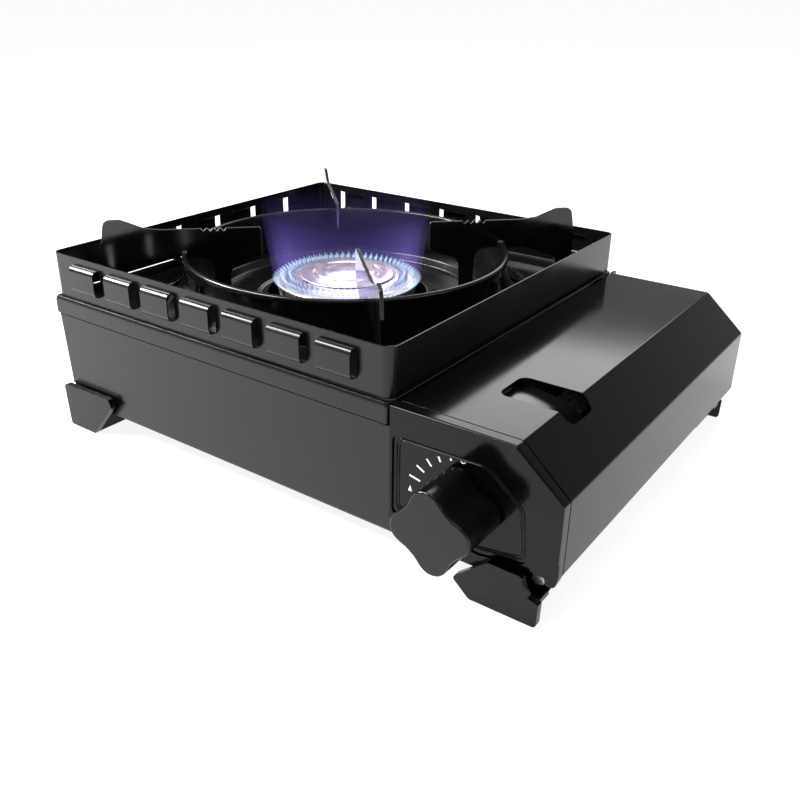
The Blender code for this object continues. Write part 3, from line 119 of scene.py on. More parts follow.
def pick(piece, mode, wanted):
    """Selects the faces or edges of a mesh in edit mode for which wanted(element) holds."""
    mesh = edit(piece, mode)
    elements = mesh.faces if mode == "FACE" else mesh.edges
    chosen = [element for element in elements if wanted(element)]
    for element in chosen:
        element.select = True
    mesh.select_flush_mode()
    bmesh.update_edit_mesh(piece.data)
    return len(chosen)


def apply_modifier(piece, kind, **settings):
    """Adds a modifier with its settings and applies it."""
    only(piece)
    change = piece.modifiers.new(kind.title(), kind)
    for key, value in settings.items():
        setattr(change, key, value)
    bpy.ops.object.modifier_apply(modifier=change.name)


def rounded_edges(piece, width_mm, segments=3, angle=35):
    apply_modifier(
        piece, "BEVEL", width=width_mm * MM, segments=segments, limit_method="ANGLE",
        angle_limit=math.radians(angle), use_clamp_overlap=True,
    )


def outward(piece):
    """Merges doubles and turns all faces outwards."""
    edit(piece)
    bpy.ops.mesh.select_all(action="SELECT")
    bpy.ops.mesh.remove_doubles(threshold=0.01 * MM)
    bpy.ops.mesh.normals_make_consistent(inside=False)
    only(piece)


def settle(piece, body, material, *nodes, smooth=30, slot=None):
    """Puts a finished piece on its body with its material, in place of the CAD nodes named."""
    only(piece)
    bpy.ops.object.transform_apply(location=True, rotation=True, scale=True)
    bpy.ops.object.shade_smooth_by_angle(angle=math.radians(smooth))
    apply_modifier(piece, "WEIGHTED_NORMAL", mode="FACE_AREA", weight=100, keep_sharp=True)
    piece.data.materials.clear()
    piece.data.materials.append(material)
    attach(piece, body)
    if nodes:
        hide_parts(*nodes)
    print(f"{piece.name}: {len(piece.data.polygons)} faces on {body}")
    return piece


# %% [markdown]
# ## Materials
# Every finish starts from what the real surface is and how it was made. One helper adds a node, another
# starts a finish with a slow wander in colour and gloss and a fine grain, which all real coatings have.


# %% Colour and node helpers
def colour(code):
    """A linear colour from an sRGB hex value."""
    parts = [int(code[index:index + 2], 16) / 255 for index in (1, 3, 5)]
    return tuple(p / 12.92 if p <= 0.04045 else ((p + 0.055) / 1.055) ** 2.4 for p in parts) + (1.0,)


def node(tree, kind, inputs=None, **settings):
    """A new node: settings are its options, and inputs its sockets' values or the sockets they come from."""
    made = tree.nodes.new(kind)
    for key, value in settings.items():
        setattr(made, key, value)
    for key, value in (inputs or {}).items():
        if isinstance(value, bpy.types.NodeSocket):
            tree.links.new(value, made.inputs[key])
        else:
            made.inputs[key].default_value = value
    return made


def ramp(tree, fac, stops):
    """A colour ramp through (place, hex) stops."""
    made = node(tree, "ShaderNodeValToRGB", {"Fac": fac})
    elements = made.color_ramp.elements
    while len(elements) < len(stops):
        elements.new(0.5)
    for element, (place, code) in zip(elements, stops):
        element.position = place
        element.color = colour(code)
    return made.outputs["Color"]


def finish(name, codes, gloss, patch_mm, grain_mm, relief, depth_mm=0.02, stretch=(1, 1, 1), **sockets):
    """A finish whose colour runs between hex codes and whose roughness runs between two values.

    Both wander over patches, and a fine grain raises the surface. Sockets are set on the shader itself.
    """
    material = bpy.data.materials.new(name)
    material.use_nodes = True
    tree = material.node_tree
    shader = tree.nodes["Principled BSDF"]
    place = node(tree, "ShaderNodeTexCoord").outputs["Object"]
    run = node(tree, "ShaderNodeMapping", {"Vector": place, "Scale": stretch}).outputs["Vector"]
    patches = node(tree, "ShaderNodeTexNoise", {"Vector": run, "Scale": 1 / (patch_mm * MM), "Detail": 3.0})
    grain = node(tree, "ShaderNodeTexNoise", {"Vector": run, "Scale": 1 / (grain_mm * MM), "Detail": 2.0})
    stops = [(0.35 + 0.3 * index / max(1, len(codes) - 1), code) for index, code in enumerate(codes)]
    tree.links.new(ramp(tree, patches.outputs["Fac"], stops), shader.inputs["Base Color"])
    rough = node(tree, "ShaderNodeMapRange", {
        "Value": patches.outputs["Fac"], "From Min": 0.3, "From Max": 0.7,
        "To Min": gloss[0], "To Max": gloss[1],
    })
    tree.links.new(rough.outputs["Result"], shader.inputs["Roughness"])
    bump = node(tree, "ShaderNodeBump", {
        "Height": grain.outputs["Fac"], "Strength": relief, "Distance": depth_mm * MM,
    })
    tree.links.new(bump.outputs["Normal"], shader.inputs["Normal"])
    for key, value in sockets.items():
        shader.inputs[key.replace("_", " ")].default_value = value
    return material


FINISH = {}

# %% [markdown]
# ### Stoved enamel on pressed steel
# The case, shield, ring and tray are pressed from thin sheet and sprayed with charcoal enamel that is then
# baked hard. Baking lets it flow almost flat, which leaves a semi-gloss skin with a very faint orange
# peel of about 1.5 mm: highlights along the folds are crisp, and broad faces wander slightly.

# %% Charcoal enamel
FINISH["body_enamel"] = finish(
    "stoved_enamel_charcoal", ["#060707", "#090a0a"], (0.2, 0.27), 40, 1.5, 0.05, 0.02,
    Specular_IOR_Level=0.37,
)
FINISH["lid_gloss"] = finish(
    "stoved_enamel_gloss_black", ["#030304", "#050505"], (0.1, 0.14), 60, 2.5, 0.03, 0.02,
    Specular_IOR_Level=0.22,
)

# %% [markdown]
# ### Vitreous enamel
# Trivet arms and brackets stand in the flame, so theirs is glass melted on at 800 degrees: a wet-looking
# black with a hard highlight on each edge.

# %% Vitreous enamel
FINISH["trivet_enamel"] = finish(
    "vitreous_enamel_black", ["#040404", "#070707"], (0.1, 0.18), 15, 1.2, 0.08, 0.04,
    Specular_IOR_Level=0.6,
)

# %% [markdown]
# ### Moulded plastics
# Feet, knob and finger guide are injection moulded. The mould is spark eroded, and the fine matt grain that
# this leaves scatters light on the knob's face. The guide's mould is polished instead.

# %% Plastics and rubber
FINISH["foot_plastic"] = finish(
    "moulded_nylon_black", ["#050505", "#080808"], (0.2, 0.28), 25, 0.5, 0.1, 0.03, Specular_IOR_Level=0.26
)
FINISH["knob_plastic"] = finish(
    "moulded_phenolic_charcoal", ["#070707", "#0a0a09"], (0.17, 0.23), 12, 0.35, 0.08, 0.02,
    Specular_IOR_Level=0.34,
)
FINISH["guide_plastic"] = finish(
    "polished_nylon_black", ["#0b0c0c", "#101111"], (0.16, 0.22), 20, 1.0, 0.03, 0.02
)
FINISH["igniter_plastic"] = finish(
    "moulded_acetal_black", ["#1b1b1c", "#202021"], (0.4, 0.5), 8, 0.4, 0.1, 0.02
)
FINISH["seal_rubber"] = finish("nitrile_rubber", ["#141414", "#1a1a1a"], (0.6, 0.75), 5, 0.3, 0.2, 0.03)
FINISH["wire_rubber"] = finish("silicone_sleeve_red", ["#6b1512", "#7a1b16"], (0.4, 0.55), 6, 0.4, 0.1, 0.02)

# %% [markdown]
# ### Metals
# Each metal is told apart by its colour and by the marks of its making: drawn wire and rolled sheet carry
# fine lines along the rolling direction, die castings a dull sandy skin, zinc plating a soft spangle.

# %% Metals
FINISH["inner_steel"] = finish(
    "zinc_plated_sheet", ["#9fa1a3", "#b4b6b8"], (0.3, 0.45), 6, 0.6, 0.08, 0.02, Metallic=1.0
)
FINISH["pin_steel"] = finish(
    "plated_steel_screw", ["#8b8c8e", "#a3a4a6"], (0.22, 0.35), 4, 0.4, 0.08, 0.02, Metallic=1.0
)
FINISH["burner_aluminium"] = finish(
    "die_cast_aluminium", ["#a9abad", "#bcbec0"], (0.42, 0.55), 10, 0.7, 0.2, 0.05, Metallic=1.0
)
FINISH["panel_aluminium"] = finish(
    "rolled_aluminium", ["#bcbfc2", "#cfd1d3"], (0.25, 0.38), 20, 0.5, 0.08, 0.02, (1, 8, 8), Metallic=1.0
)
FINISH["cast_zinc"] = finish(
    "die_cast_zinc", ["#7d8082", "#8f9294"], (0.4, 0.52), 9, 0.6, 0.2, 0.04, Metallic=1.0
)
FINISH["valve_brass"] = finish(
    "turned_brass", ["#b8934c", "#c9a55c"], (0.2, 0.32), 5, 0.3, 0.1, 0.02, (1, 6, 1), Metallic=1.0
)
FINISH["pipe_copper"] = finish(
    "drawn_copper", ["#a8623f", "#bf7650"], (0.25, 0.38), 12, 0.4, 0.08, 0.02, Metallic=1.0
)
FINISH["magnet_ferrite"] = finish(
    "nickel_plated_magnet", ["#8c8d8d", "#a09f9d"], (0.2, 0.3), 4, 0.4, 0.06, 0.02, Metallic=1.0
)
FINISH["electrode_ceramic"] = finish(
    "glazed_steatite", ["#ddd8cc", "#e8e4da"], (0.22, 0.34), 4, 0.5, 0.05, 0.02
)
FINISH["burner_steel"] = finish(
    "heat_tinted_stainless", ["#cdbcb4", "#ddd0cb", "#c9bfc6"], (0.26, 0.4), 7, 0.4, 0.1, 0.02, (1, 1, 6),
    Metallic=1.0,
)
PRINT = finish("white_pad_print", ["#d9d9d7", "#e4e4e2"], (0.45, 0.55), 3, 0.25, 0.15, 0.01)

for name, piece in NODES.items():
    piece.data.materials.clear()
    piece.data.materials.append(FINISH[SLOT_OF[name]])
print(f"{len(FINISH)} finishes on {len(NODES)} CAD pieces")

# %% [markdown]
# ## Pressed and moulded pieces, with their edges rounded
# A CAD solid has knife edges, but no pressed or moulded piece has: it is the small radius on each edge
# that catches a line of light. A merged copy of the solid, its flat faces dissolved into one, takes a
# bevel of the real radius and keeps every outline. The case's long folds get a wider one first, and its
# dial panel the gloss black of the lid. The deck's outer fold is let down, so that its shoulder is wider.


# %% Copies with rounded edges
def outer_fold(edge):
    """Whether an edge is an outer fold between two broad faces."""
    if len(edge.link_faces) != 2 or not edge.is_convex or edge.calc_length() < 20 * MM:
        return False
    if edge.calc_face_angle() < math.radians(60):
        return False
    return all(face.calc_area() / edge.calc_length() > 3 * MM for face in edge.link_faces)


def softened(name, width_mm, fold_mm=0.0, drop=None, segments=3, angle=30):
    """A copy of a CAD piece with rounded folds and edges, which stands in for it."""
    piece = bpy.data.objects.new(name + "_finished", NODES[name].data.copy())
    bpy.context.scene.collection.objects.link(piece)
    if drop:
        for vertex in piece.data.vertices:
            vertex.co.z -= drop(vertex.co / MM) * MM
    edit(piece)
    bpy.ops.mesh.select_all(action="SELECT")
    bpy.ops.mesh.remove_doubles(threshold=0.02 * MM)
    bpy.ops.mesh.dissolve_limited(angle_limit=math.radians(1.0))
    only(piece)
    bpy.ops.mesh.customdata_custom_splitnormals_clear()
    if fold_mm and pick(piece, "EDGE", outer_fold):
        bpy.ops.mesh.bevel(offset=fold_mm * MM, segments=5, affect="EDGES", clamp_overlap=False)
        only(piece)
        low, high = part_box(name)
        for vertex in piece.data.vertices:
            vertex.co = [min(max(place, least), most) for place, least, most in zip(vertex.co, low, high)]
    rounded_edges(piece, width_mm, segments, angle)
    return settle(piece, BODY_OF[name], FINISH[SLOT_OF[name]], name)


FOLD_DEPTH = 1.0
FOLD_REACH = 1.2
SEAM = 1.8
PANEL_DEPTH = 6.0


def shoulder(point):
    """How far a point of the deck's outer fold goes down, in millimetres, so that the fold rolls wider."""
    wall = min(point.x - PLATE_LOW.x, PLATE_HIGH.x - point.x, point.y - PLATE_LOW.y, PLATE_HIGH.y - point.y)
    depth = PLATE_HIGH.z - point.z
    if wall > FOLD_REACH or not 0.25 * FOLD_DEPTH < depth < 1.05 * FOLD_DEPTH:
        return 0.0
    return 2.0 * depth - 0.2 if depth > 0.9 * FOLD_DEPTH else 0.8


case = softened("lower_case", 0.35, 1.2)
case.data.materials.append(FINISH["lid_gloss"])
for face in case.data.polygons:
    if face.center.x > (PLATE_HIGH.x + SEAM) * MM and face.center.y < (CASE_LOW.y + PANEL_DEPTH) * MM:
        face.material_index = 1
softened("top_plate", 0.3, drop=shoulder)
softened("cartridge_lid", 0.35)
softened("slot_guide", 0.3)
for side in ("front_left", "front_right", "rear_left", "rear_right"):
    softened(f"foot_{side}", 0.5)
    softened(f"trivet_arm_{side}", 0.35)
for side in ("front_left", "left", "right", "rear_right"):
    softened(f"ring_bracket_{side}", 0.2)

# %% [markdown]
# ## Turned pieces
# Wind ring, tray, port ring and cap are round. A circle is extruded ring by ring along the profile: each
# step is a plain edge extrude, a move and a resize, and the last ring is bridged to the first.


# %% Turning helper
def arcs(corners, radius, steps=4):
    """A profile with each inner corner rounded by about this radius."""
    points = [corners[0]]
    for before, corner, after in zip(corners, corners[1:], corners[2:]):
        middle = Vector(corner)
        back, ahead = Vector(before) - middle, Vector(after) - middle
        reach = min(radius, 0.4 * back.length, 0.4 * ahead.length)
        back, ahead = back.normalized() * reach, ahead.normalized() * reach
        for step in range(steps + 1):
            share = step / steps
            points.append(tuple(middle + back * (1 - share) ** 2 + ahead * share ** 2))
    return points + [corners[-1]]


def turned(name, profile, steps=160):
    """A turned piece on the burner's axis from a closed profile of (radius, height) in millimetres."""
    only()
    radius, height = profile[0]
    bpy.ops.mesh.primitive_circle_add(vertices=steps, radius=radius * MM, location=(0, 0, 0))
    piece = added(name)
    bpy.ops.object.mode_set(mode="EDIT")
    bpy.ops.mesh.select_all(action="SELECT")
    bpy.ops.transform.translate(value=(0, 0, height * MM))
    for (radius, height), (next_radius, next_height) in zip(profile, profile[1:]):
        rise = (next_height - height) * MM
        bpy.ops.mesh.extrude_edges_move(TRANSFORM_OT_translate={"value": (0, 0, rise)})
        grow = next_radius / radius
        bpy.ops.transform.resize(value=(grow, grow, 1), center_override=(0, 0, next_height * MM))
    bpy.ops.mesh.select_all(action="DESELECT")
    bpy.ops.mesh.select_non_manifold()
    bpy.ops.mesh.bridge_edge_loops()
    outward(piece)
    piece.location = (AXIS.x * MM, AXIS.y * MM, 0)
    return piece


# %% [markdown]
# ### Wind ring
# A drum of thin sheet whose rim is rolled outwards into a bead, which stiffens it and shows as a double
# line of light.

# %% Wind ring
RING_R = 98.0
RING_BEAD = 1.6
ring_outer = RING_R + SHEET
bead_middle = (ring_outer + 0.4 * RING_BEAD, RING_HIGH.z - RING_BEAD)
rolled = []
for step in range(13):
    angle = math.radians(170 - 19 * step)
    rolled.append((
        bead_middle[0] + RING_BEAD * math.cos(angle),
        bead_middle[1] + RING_BEAD * math.sin(angle),
    ))
ring_profile = [(RING_R, RING_LOW.z), (RING_R, RING_HIGH.z - 1.4 * RING_BEAD), *rolled]
ring_profile += [(ring_outer, RING_HIGH.z - 2.6 * RING_BEAD), (ring_outer, RING_LOW.z)]
settle(turned("wind_ring_rolled", ring_profile), "lift_unit", FINISH["body_enamel"], "wind_ring", smooth=50)

# %% [markdown]
# ### Drip tray
# The tray is pressed in steps: each fold is a soft radius that draws one thin bright circle.

# %% Drip tray
TRAY_DROP = 5.1
TRAY_HOLE = 50.6
TRAY_FLAT = 84.0
TRAY_RIM = 93.0
FOLD_R = 0.9
tray_top = box_mm("drip_tray")[1].z
tray_floor = tray_top - TRAY_DROP
upper = arcs([
    (TRAY_HOLE, tray_floor + 3.6), (TRAY_HOLE + 1.2, tray_floor + 3.6), (TRAY_HOLE + 3.4, tray_floor + 0.8),
    (TRAY_HOLE + 5.4, tray_floor + 0.8), (TRAY_HOLE + 7.4, tray_floor + 2.4), (TRAY_HOLE + 9.6, tray_floor),
    (TRAY_FLAT, tray_floor), (TRAY_FLAT + 2.4, tray_top), (TRAY_RIM, tray_top),
], FOLD_R)
lower = [(radius, height - SHEET) for radius, height in reversed(upper)]
settle(turned("drip_tray_pressed", upper + lower), "lift_unit", FINISH["body_enamel"], "drip_tray", smooth=50)

# %% [markdown]
# ### Burner
# The port ring is pressed from stainless steel and pierced all round with fine ports in two rows. The cap
# on top has curved slots, pressed down, that let the inner flames out. Both are tinted by heat.

# %% Port ring
HEAD_LOW, HEAD_HIGH = box_mm("burner_port_ring")
HEAD_R = 44.0
head_top = HEAD_HIGH.z
head = turned("burner_port_ring_pierced", arcs([
    (24.2, head_top - 3.8), (24.4, head_top - 2), (25, head_top), (31.5, head_top), (34.5, head_top - 1),
    (41, head_top - 1.5), (HEAD_R, head_top - 3), (HEAD_R, HEAD_LOW.z + 0.2), (38.2, HEAD_LOW.z + 0.2),
    (36, head_top - 4),
], 0.8, 3))


def copies(piece, places):
    """Copies of a modelled piece, each with its own mesh, joined into one object."""
    made = []
    for place in places:
        copy = piece.copy()
        copy.data = piece.data.copy()
        copy.data.transform(place)
        bpy.context.scene.collection.objects.link(copy)
        made.append(copy)
    bpy.data.objects.remove(piece, do_unlink=True)
    only(made[0])
    for copy in made:
        copy.select_set(True)
    bpy.ops.object.join()
    return made[0]


def about(angle, radius, height, tilt=0.0):
    """A place on a circle round the burner's axis, facing outwards and tilted up."""
    spin = Matrix.Rotation(angle, 4, "Z")
    return (
        Matrix.Translation((AXIS.x * MM, AXIS.y * MM, height * MM)) @ spin
        @ Matrix.Translation((radius * MM, 0, 0)) @ Matrix.Rotation(-tilt, 4, "Y")
    )


PORTS = 72
PORT_R = 0.55
only()
bpy.ops.mesh.primitive_cylinder_add(
    vertices=8, radius=PORT_R * MM, depth=2.4 * MM, rotation=(0, math.pi / 2, 0),
)
port = added("port")
bpy.ops.object.transform_apply(rotation=True)
rows = [(38.5, head_top - 1.0, 1.3), (HEAD_R - 0.4, head_top - 5.0, 0.0)]
ports = copies(port, [
    about(2 * math.pi * (index + 0.5 * row) / PORTS, radius, height, tilt)
    for row, (radius, height, tilt) in enumerate(rows) for index in range(PORTS)
])
only(head)
bpy.ops.object.transform_apply(location=True)
apply_modifier(head, "BOOLEAN", object=ports, operation="DIFFERENCE", solver="EXACT")
bpy.data.objects.remove(ports, do_unlink=True)
settle(head, "base", FINISH["burner_steel"], "burner_port_ring", smooth=40)

# %% Burner cap
CAP_LOW, CAP_HIGH = box_mm("burner_cap")
cap_top = CAP_HIGH.z
cap = turned("burner_cap_slotted", arcs([
    (0.004, cap_top - 0.3), (12, cap_top - 0.3), (14.5, cap_top), (16, cap_top - 0.5), (17, cap_top - 0.9),
    (25.5, cap_top - 0.9), (29.2, cap_top - 1.4), (30.0, CAP_LOW.z + 0.3), (29.6, CAP_LOW.z),
    (0.004, CAP_LOW.z),
], 0.9, 3), 128)
only()
bpy.ops.mesh.primitive_torus_add(
    major_radius=20.5 * MM, minor_radius=1.9 * MM, major_segments=96, minor_segments=12,
    location=(AXIS.x * MM, AXIS.y * MM, (cap_top - 0.2) * MM),
)
slots = added("slots")
SLOTS = 4
SLOT_GAP = 0.45
pick(slots, "FACE", lambda face: math.cos(SLOTS * math.atan2(*face.calc_center_median().yx)) > SLOT_GAP)
bpy.ops.mesh.delete(type="FACE")
edit(slots)
bpy.ops.mesh.select_non_manifold()
bpy.ops.mesh.fill_holes(sides=0)
outward(slots)
only(cap)
bpy.ops.object.transform_apply(location=True)
apply_modifier(cap, "BOOLEAN", object=slots, operation="DIFFERENCE", solver="EXACT")
bpy.data.objects.remove(slots, do_unlink=True)
settle(cap, "base", FINISH["burner_steel"], "burner_cap", smooth=40)

# %% [markdown]
# ## Wind shield
# The shield is one band of sheet bent round four corners. Its louvres are lanced: the sheet is slit at
# two ends and pushed out between them into a rounded bridge, open left and right. The wall is made from a
# cube with four rounded corners, windows are cut where the louvres go, and one bridge is modelled and
# copied to every window.

# %% Shield wall
SHIELD_SIDE = 249.3
CORNER_R = 5.5
middle = (AXIS.x, AXIS.y, (SHIELD_LOW.z + SHIELD_HIGH.z) / 2)
only()
bpy.ops.mesh.primitive_cube_add(size=1, location=Vector(middle) * MM)
shield = added("wind_shield_lanced")
shield.scale = (SHIELD_SIDE * MM, SHIELD_SIDE * MM, (SHIELD_HIGH.z - SHIELD_LOW.z) * MM)
bpy.ops.object.transform_apply(location=True, rotation=True, scale=True)
pick(shield, "EDGE", lambda edge: abs((edge.verts[0].co - edge.verts[1].co).z) > 5 * MM)
bpy.ops.mesh.bevel(offset=CORNER_R * MM, segments=8, affect="EDGES")
pick(shield, "FACE", lambda face: abs(face.normal.z) > 0.9)
bpy.ops.mesh.delete(type="FACE")
only(shield)
apply_modifier(shield, "SOLIDIFY", thickness=SHEET * MM, offset=-1)

# %% Where the louvres are
LOUVRE_WIDE = 21.5
LOUVRE_TALL = 16.0
LOUVRE_OUT = 4.4
LOUVRE_FOLD = 3.4
LOUVRE_MIDDLE = SHIELD_HIGH.z - 4.2 - LOUVRE_TALL / 2
FRONT_PITCH = 31.1
SIDE_PITCH = 35.9
spots = []
for index in range(7):
    along = (index - 3) * FRONT_PITCH
    spots.append((AXIS.x + along, AXIS.y - SHIELD_SIDE / 2, 0))
    spots.append((AXIS.x + along, AXIS.y + SHIELD_SIDE / 2, math.pi))
for index in range(5):
    spots.append((AXIS.x - SHIELD_SIDE / 2, AXIS.y + (index - 2) * SIDE_PITCH, -math.pi / 2))
places = [
    Matrix.Translation(Vector((x, y, LOUVRE_MIDDLE)) * MM) @ Matrix.Rotation(turn, 4, "Z")
    for x, y, turn in spots
]
print(f"{len(places)} louvres")

# %% Windows in the wall
only()
bpy.ops.mesh.primitive_cube_add(size=1)
window = added("window")
window.scale = ((LOUVRE_WIDE + 2 * SHEET) * MM, 6 * MM, (LOUVRE_TALL - 1.0) * MM)
bpy.ops.object.transform_apply(scale=True)
windows = copies(window, places)
apply_modifier(shield, "BOOLEAN", object=windows, operation="DIFFERENCE", solver="EXACT")
bpy.data.objects.remove(windows, do_unlink=True)
rounded_edges(shield, 0.25, 2, 50)

# %% One louvre bridge, copied
only()
bpy.ops.mesh.primitive_cube_add(size=1)
bridge = added("louvre_bridge")
bridge.scale = (LOUVRE_WIDE * MM, (LOUVRE_OUT + SHEET) * MM, LOUVRE_TALL * MM)
bridge.location = (0, (SHEET - LOUVRE_OUT) / 2 * MM, 0)
bpy.ops.object.transform_apply(location=True, scale=True)
pick(bridge, "EDGE", lambda edge: (
    abs((edge.verts[0].co - edge.verts[1].co).x) > 5 * MM and edge.verts[0].co.y < 0
))
bpy.ops.mesh.bevel(offset=LOUVRE_FOLD * MM, segments=6, affect="EDGES", profile=0.5)
pick(bridge, "FACE", lambda face: abs(face.normal.x) > 0.9 or face.normal.y > 0.9)
bpy.ops.mesh.delete(type="FACE")
only(bridge)
apply_modifier(bridge, "SOLIDIFY", thickness=SHEET * MM, offset=-1)
rounded_edges(bridge, 0.2, 2, 50)
bridges = copies(bridge, places)
only(bridges)
shield.select_set(True)
bpy.context.view_layer.objects.active = shield
bpy.ops.object.join()
settle(shield, "lift_unit", FINISH["body_enamel"], "wind_shield", smooth=40)

# %% [markdown]
# ## Knob
# A moulded knob with four broad lobes for the fingers. A many-sided circle is pushed in and out into the
# lobed outline, extruded to the knob's depth, and its front edge gets a moulded radius.

# %% Knob
LOBE_R = 20.8
WAIST_R = 15.8
LOBE_TURN = math.radians(9)
KNOB_X = (KNOB_LOW.x + KNOB_HIGH.x) / 2
KNOB_Z = 45.5
KNOB_EDGE = 1.1
only()
bpy.ops.mesh.primitive_circle_add(vertices=144, radius=1.0, fill_type="NGON")
knob = added("knob_moulded")
for vertex in knob.data.vertices:
    angle = math.atan2(vertex.co.y, vertex.co.x)
    wave = math.cos(4 * (angle - LOBE_TURN))
    broad = wave * (1.18 - 0.18 * wave * wave)
    radius = (LOBE_R + WAIST_R) / 2 + (LOBE_R - WAIST_R) / 2 * broad
    vertex.co = Vector((radius * math.cos(angle), radius * math.sin(angle), 0)) * MM
knob_front = (KNOB_HIGH.y - KNOB_LOW.y) * MM
edit(knob)
bpy.ops.mesh.select_all(action="SELECT")
bpy.ops.mesh.extrude_region_move(TRANSFORM_OT_translate={"value": (0, 0, knob_front)})
outward(knob)
pick(knob, "EDGE", lambda edge: all(abs(vertex.co.z - knob_front) < 0.01 * MM for vertex in edge.verts))
bpy.ops.mesh.bevel(offset=KNOB_EDGE * MM, segments=4, affect="EDGES")
only(knob)
knob.rotation_euler = (math.pi / 2, 0, 0)
knob.location = (KNOB_X * MM, KNOB_HIGH.y * MM, KNOB_Z * MM)
settle(knob, "knob", FINISH["knob_plastic"], "knob", smooth=35)

# %% [markdown]
# ## Dial
# Two thin beads are pressed into the panel round the dial, and the marks are printed with a silicone pad:
# ticks that shrink towards the shut position. The words beside them are left out for plain signs.


# %% Beads round the dial
def on_panel(x, z):
    """A place on the dial panel, from the case's left edge and the floor, in millimetres."""
    return PLATE_LOW.x + x, z


DIAL_Y = -113.55
DIAL_CENTRE = Vector((288, 50))
BEAD_R = 0.5
BEAD_CORNER = 4.0
DIAL_OUTLINE = [
    (254.6, 69.4), (303.6, 70.4), (322.2, 55.4), (324.4, 30.0), (300, 26.2), (263, 28.6), (254.6, 31),
]


def beaded(name, points):
    """A thin closed bead through points on the dial panel, as a curve that is then made a mesh."""
    curve = bpy.data.curves.new(name, "CURVE")
    curve.dimensions = "3D"
    curve.bevel_depth = BEAD_R * MM
    curve.bevel_resolution = 2
    spline = curve.splines.new("POLY")
    spline.points.add(len(points) - 1)
    for point, (x, z) in zip(spline.points, points):
        px, pz = on_panel(x, z)
        point.co = (px * MM, DIAL_Y * MM, pz * MM, 1)
    spline.use_cyclic_u = True
    piece = bpy.data.objects.new(name, curve)
    bpy.context.scene.collection.objects.link(piece)
    only(piece)
    bpy.ops.object.convert(target="MESH")
    return bpy.context.object


def ring_of(corners, radius):
    """A closed outline with its corners rounded."""
    path = arcs([corners[-1], *corners, corners[0]], radius)
    return path[1:-1]


for number, shrink in enumerate((1.0, 0.955), start=1):
    corners = [tuple(DIAL_CENTRE + (Vector(corner) - DIAL_CENTRE) * shrink) for corner in DIAL_OUTLINE]
    bead = beaded(f"dial_bead_{number}", ring_of(corners, BEAD_CORNER))
    settle(bead, "base", FINISH["lid_gloss"], smooth=60, slot="body_enamel")

# %% Printed marks
ticks = [((262, 51.7), (268.1, 50.4)), ((266, 58.2), (270.2, 55.9)), ((271.4, 63.4), (274, 60.4)),
         ((277.6, 66.8), (278.8, 64.3)), ((284.0, 68.0), (284.5, 66.9))]
TICK_WIDE = 0.95
TICK_THICK = 0.08
for number, (first, last) in enumerate(ticks, start=1):
    start, end = Vector(first), Vector(last)
    along = end - start
    x, z = on_panel(*((start + end) / 2))
    only()
    bpy.ops.mesh.primitive_cube_add(size=1, location=(x * MM, (DIAL_Y - 0.02) * MM, z * MM))
    tick = added(f"dial_tick_{number}")
    tick.scale = (along.length * MM, TICK_THICK * MM, TICK_WIDE * MM)
    tick.rotation_euler = (0, -math.atan2(along.y, along.x), 0)
    bpy.ops.object.transform_apply(rotation=True, scale=True)
    rounded_edges(tick, 0.035, 1, 30)
    settle(tick, "base", PRINT, smooth=30)

# %% Signs for off and ignite
x, z = on_panel(290.6, 69.0)
only()
bpy.ops.mesh.primitive_torus_add(
    major_radius=1.25 * MM, minor_radius=0.28 * MM, major_segments=32, minor_segments=8,
    location=(x * MM, (DIAL_Y + 0.15) * MM, z * MM), rotation=(math.pi / 2, 0, 0),
)
settle(added("sign_off"), "base", PRINT, smooth=60)
x, z = on_panel(262.6, 44.6)
only()
bpy.ops.mesh.primitive_cone_add(
    vertices=24, radius1=1.1 * MM, radius2=0.12 * MM, depth=2.9 * MM, location=(x * MM, DIAL_Y * MM, z * MM),
)
sign = added("sign_ignite")
sign.scale = (1, 0.12, 1)
settle(sign, "base", PRINT, smooth=60)

# %% [markdown]
# ## Screw in the corner
# A pan-head screw with a crossed recess: a thin cylinder, its front edge rounded, and two bars cut out.

# %% Corner screw
SCREW_LOW, SCREW_HIGH = box_mm("corner_screw")
screw_at = (SCREW_LOW + SCREW_HIGH) / 2
only()
bpy.ops.mesh.primitive_cylinder_add(
    vertices=48, radius=(SCREW_HIGH.x - SCREW_LOW.x) / 2 * MM, depth=(SCREW_HIGH.y - SCREW_LOW.y) * MM,
    location=screw_at * MM, rotation=(math.pi / 2, 0, 0),
)
screw = added("corner_screw_head")
rounded_edges(screw, 0.7, 4, 50)
for turn in (0, math.pi / 2):
    only()
    bpy.ops.mesh.primitive_cube_add(size=1, location=(screw_at.x * MM, SCREW_LOW.y * MM, screw_at.z * MM))
    bar = added("bar")
    bar.scale = (3.6 * MM, 2.2 * MM, 0.9 * MM)
    bar.rotation_euler = (0, turn + 0.35, 0)
    apply_modifier(screw, "BOOLEAN", object=bar, operation="DIFFERENCE", solver="EXACT")
    bpy.data.objects.remove(bar, do_unlink=True)
settle(screw, "base", FINISH["pin_steel"], "corner_screw", smooth=35)

# %% [markdown]
# ## Flame
# The flame is staged: it is not part of the stove. A gas flame only adds light and hides nothing, so
# its shader is emission added to plain transparency. Small teardrops stand at the ports, and a few
# nested shells make the violet haze above them.


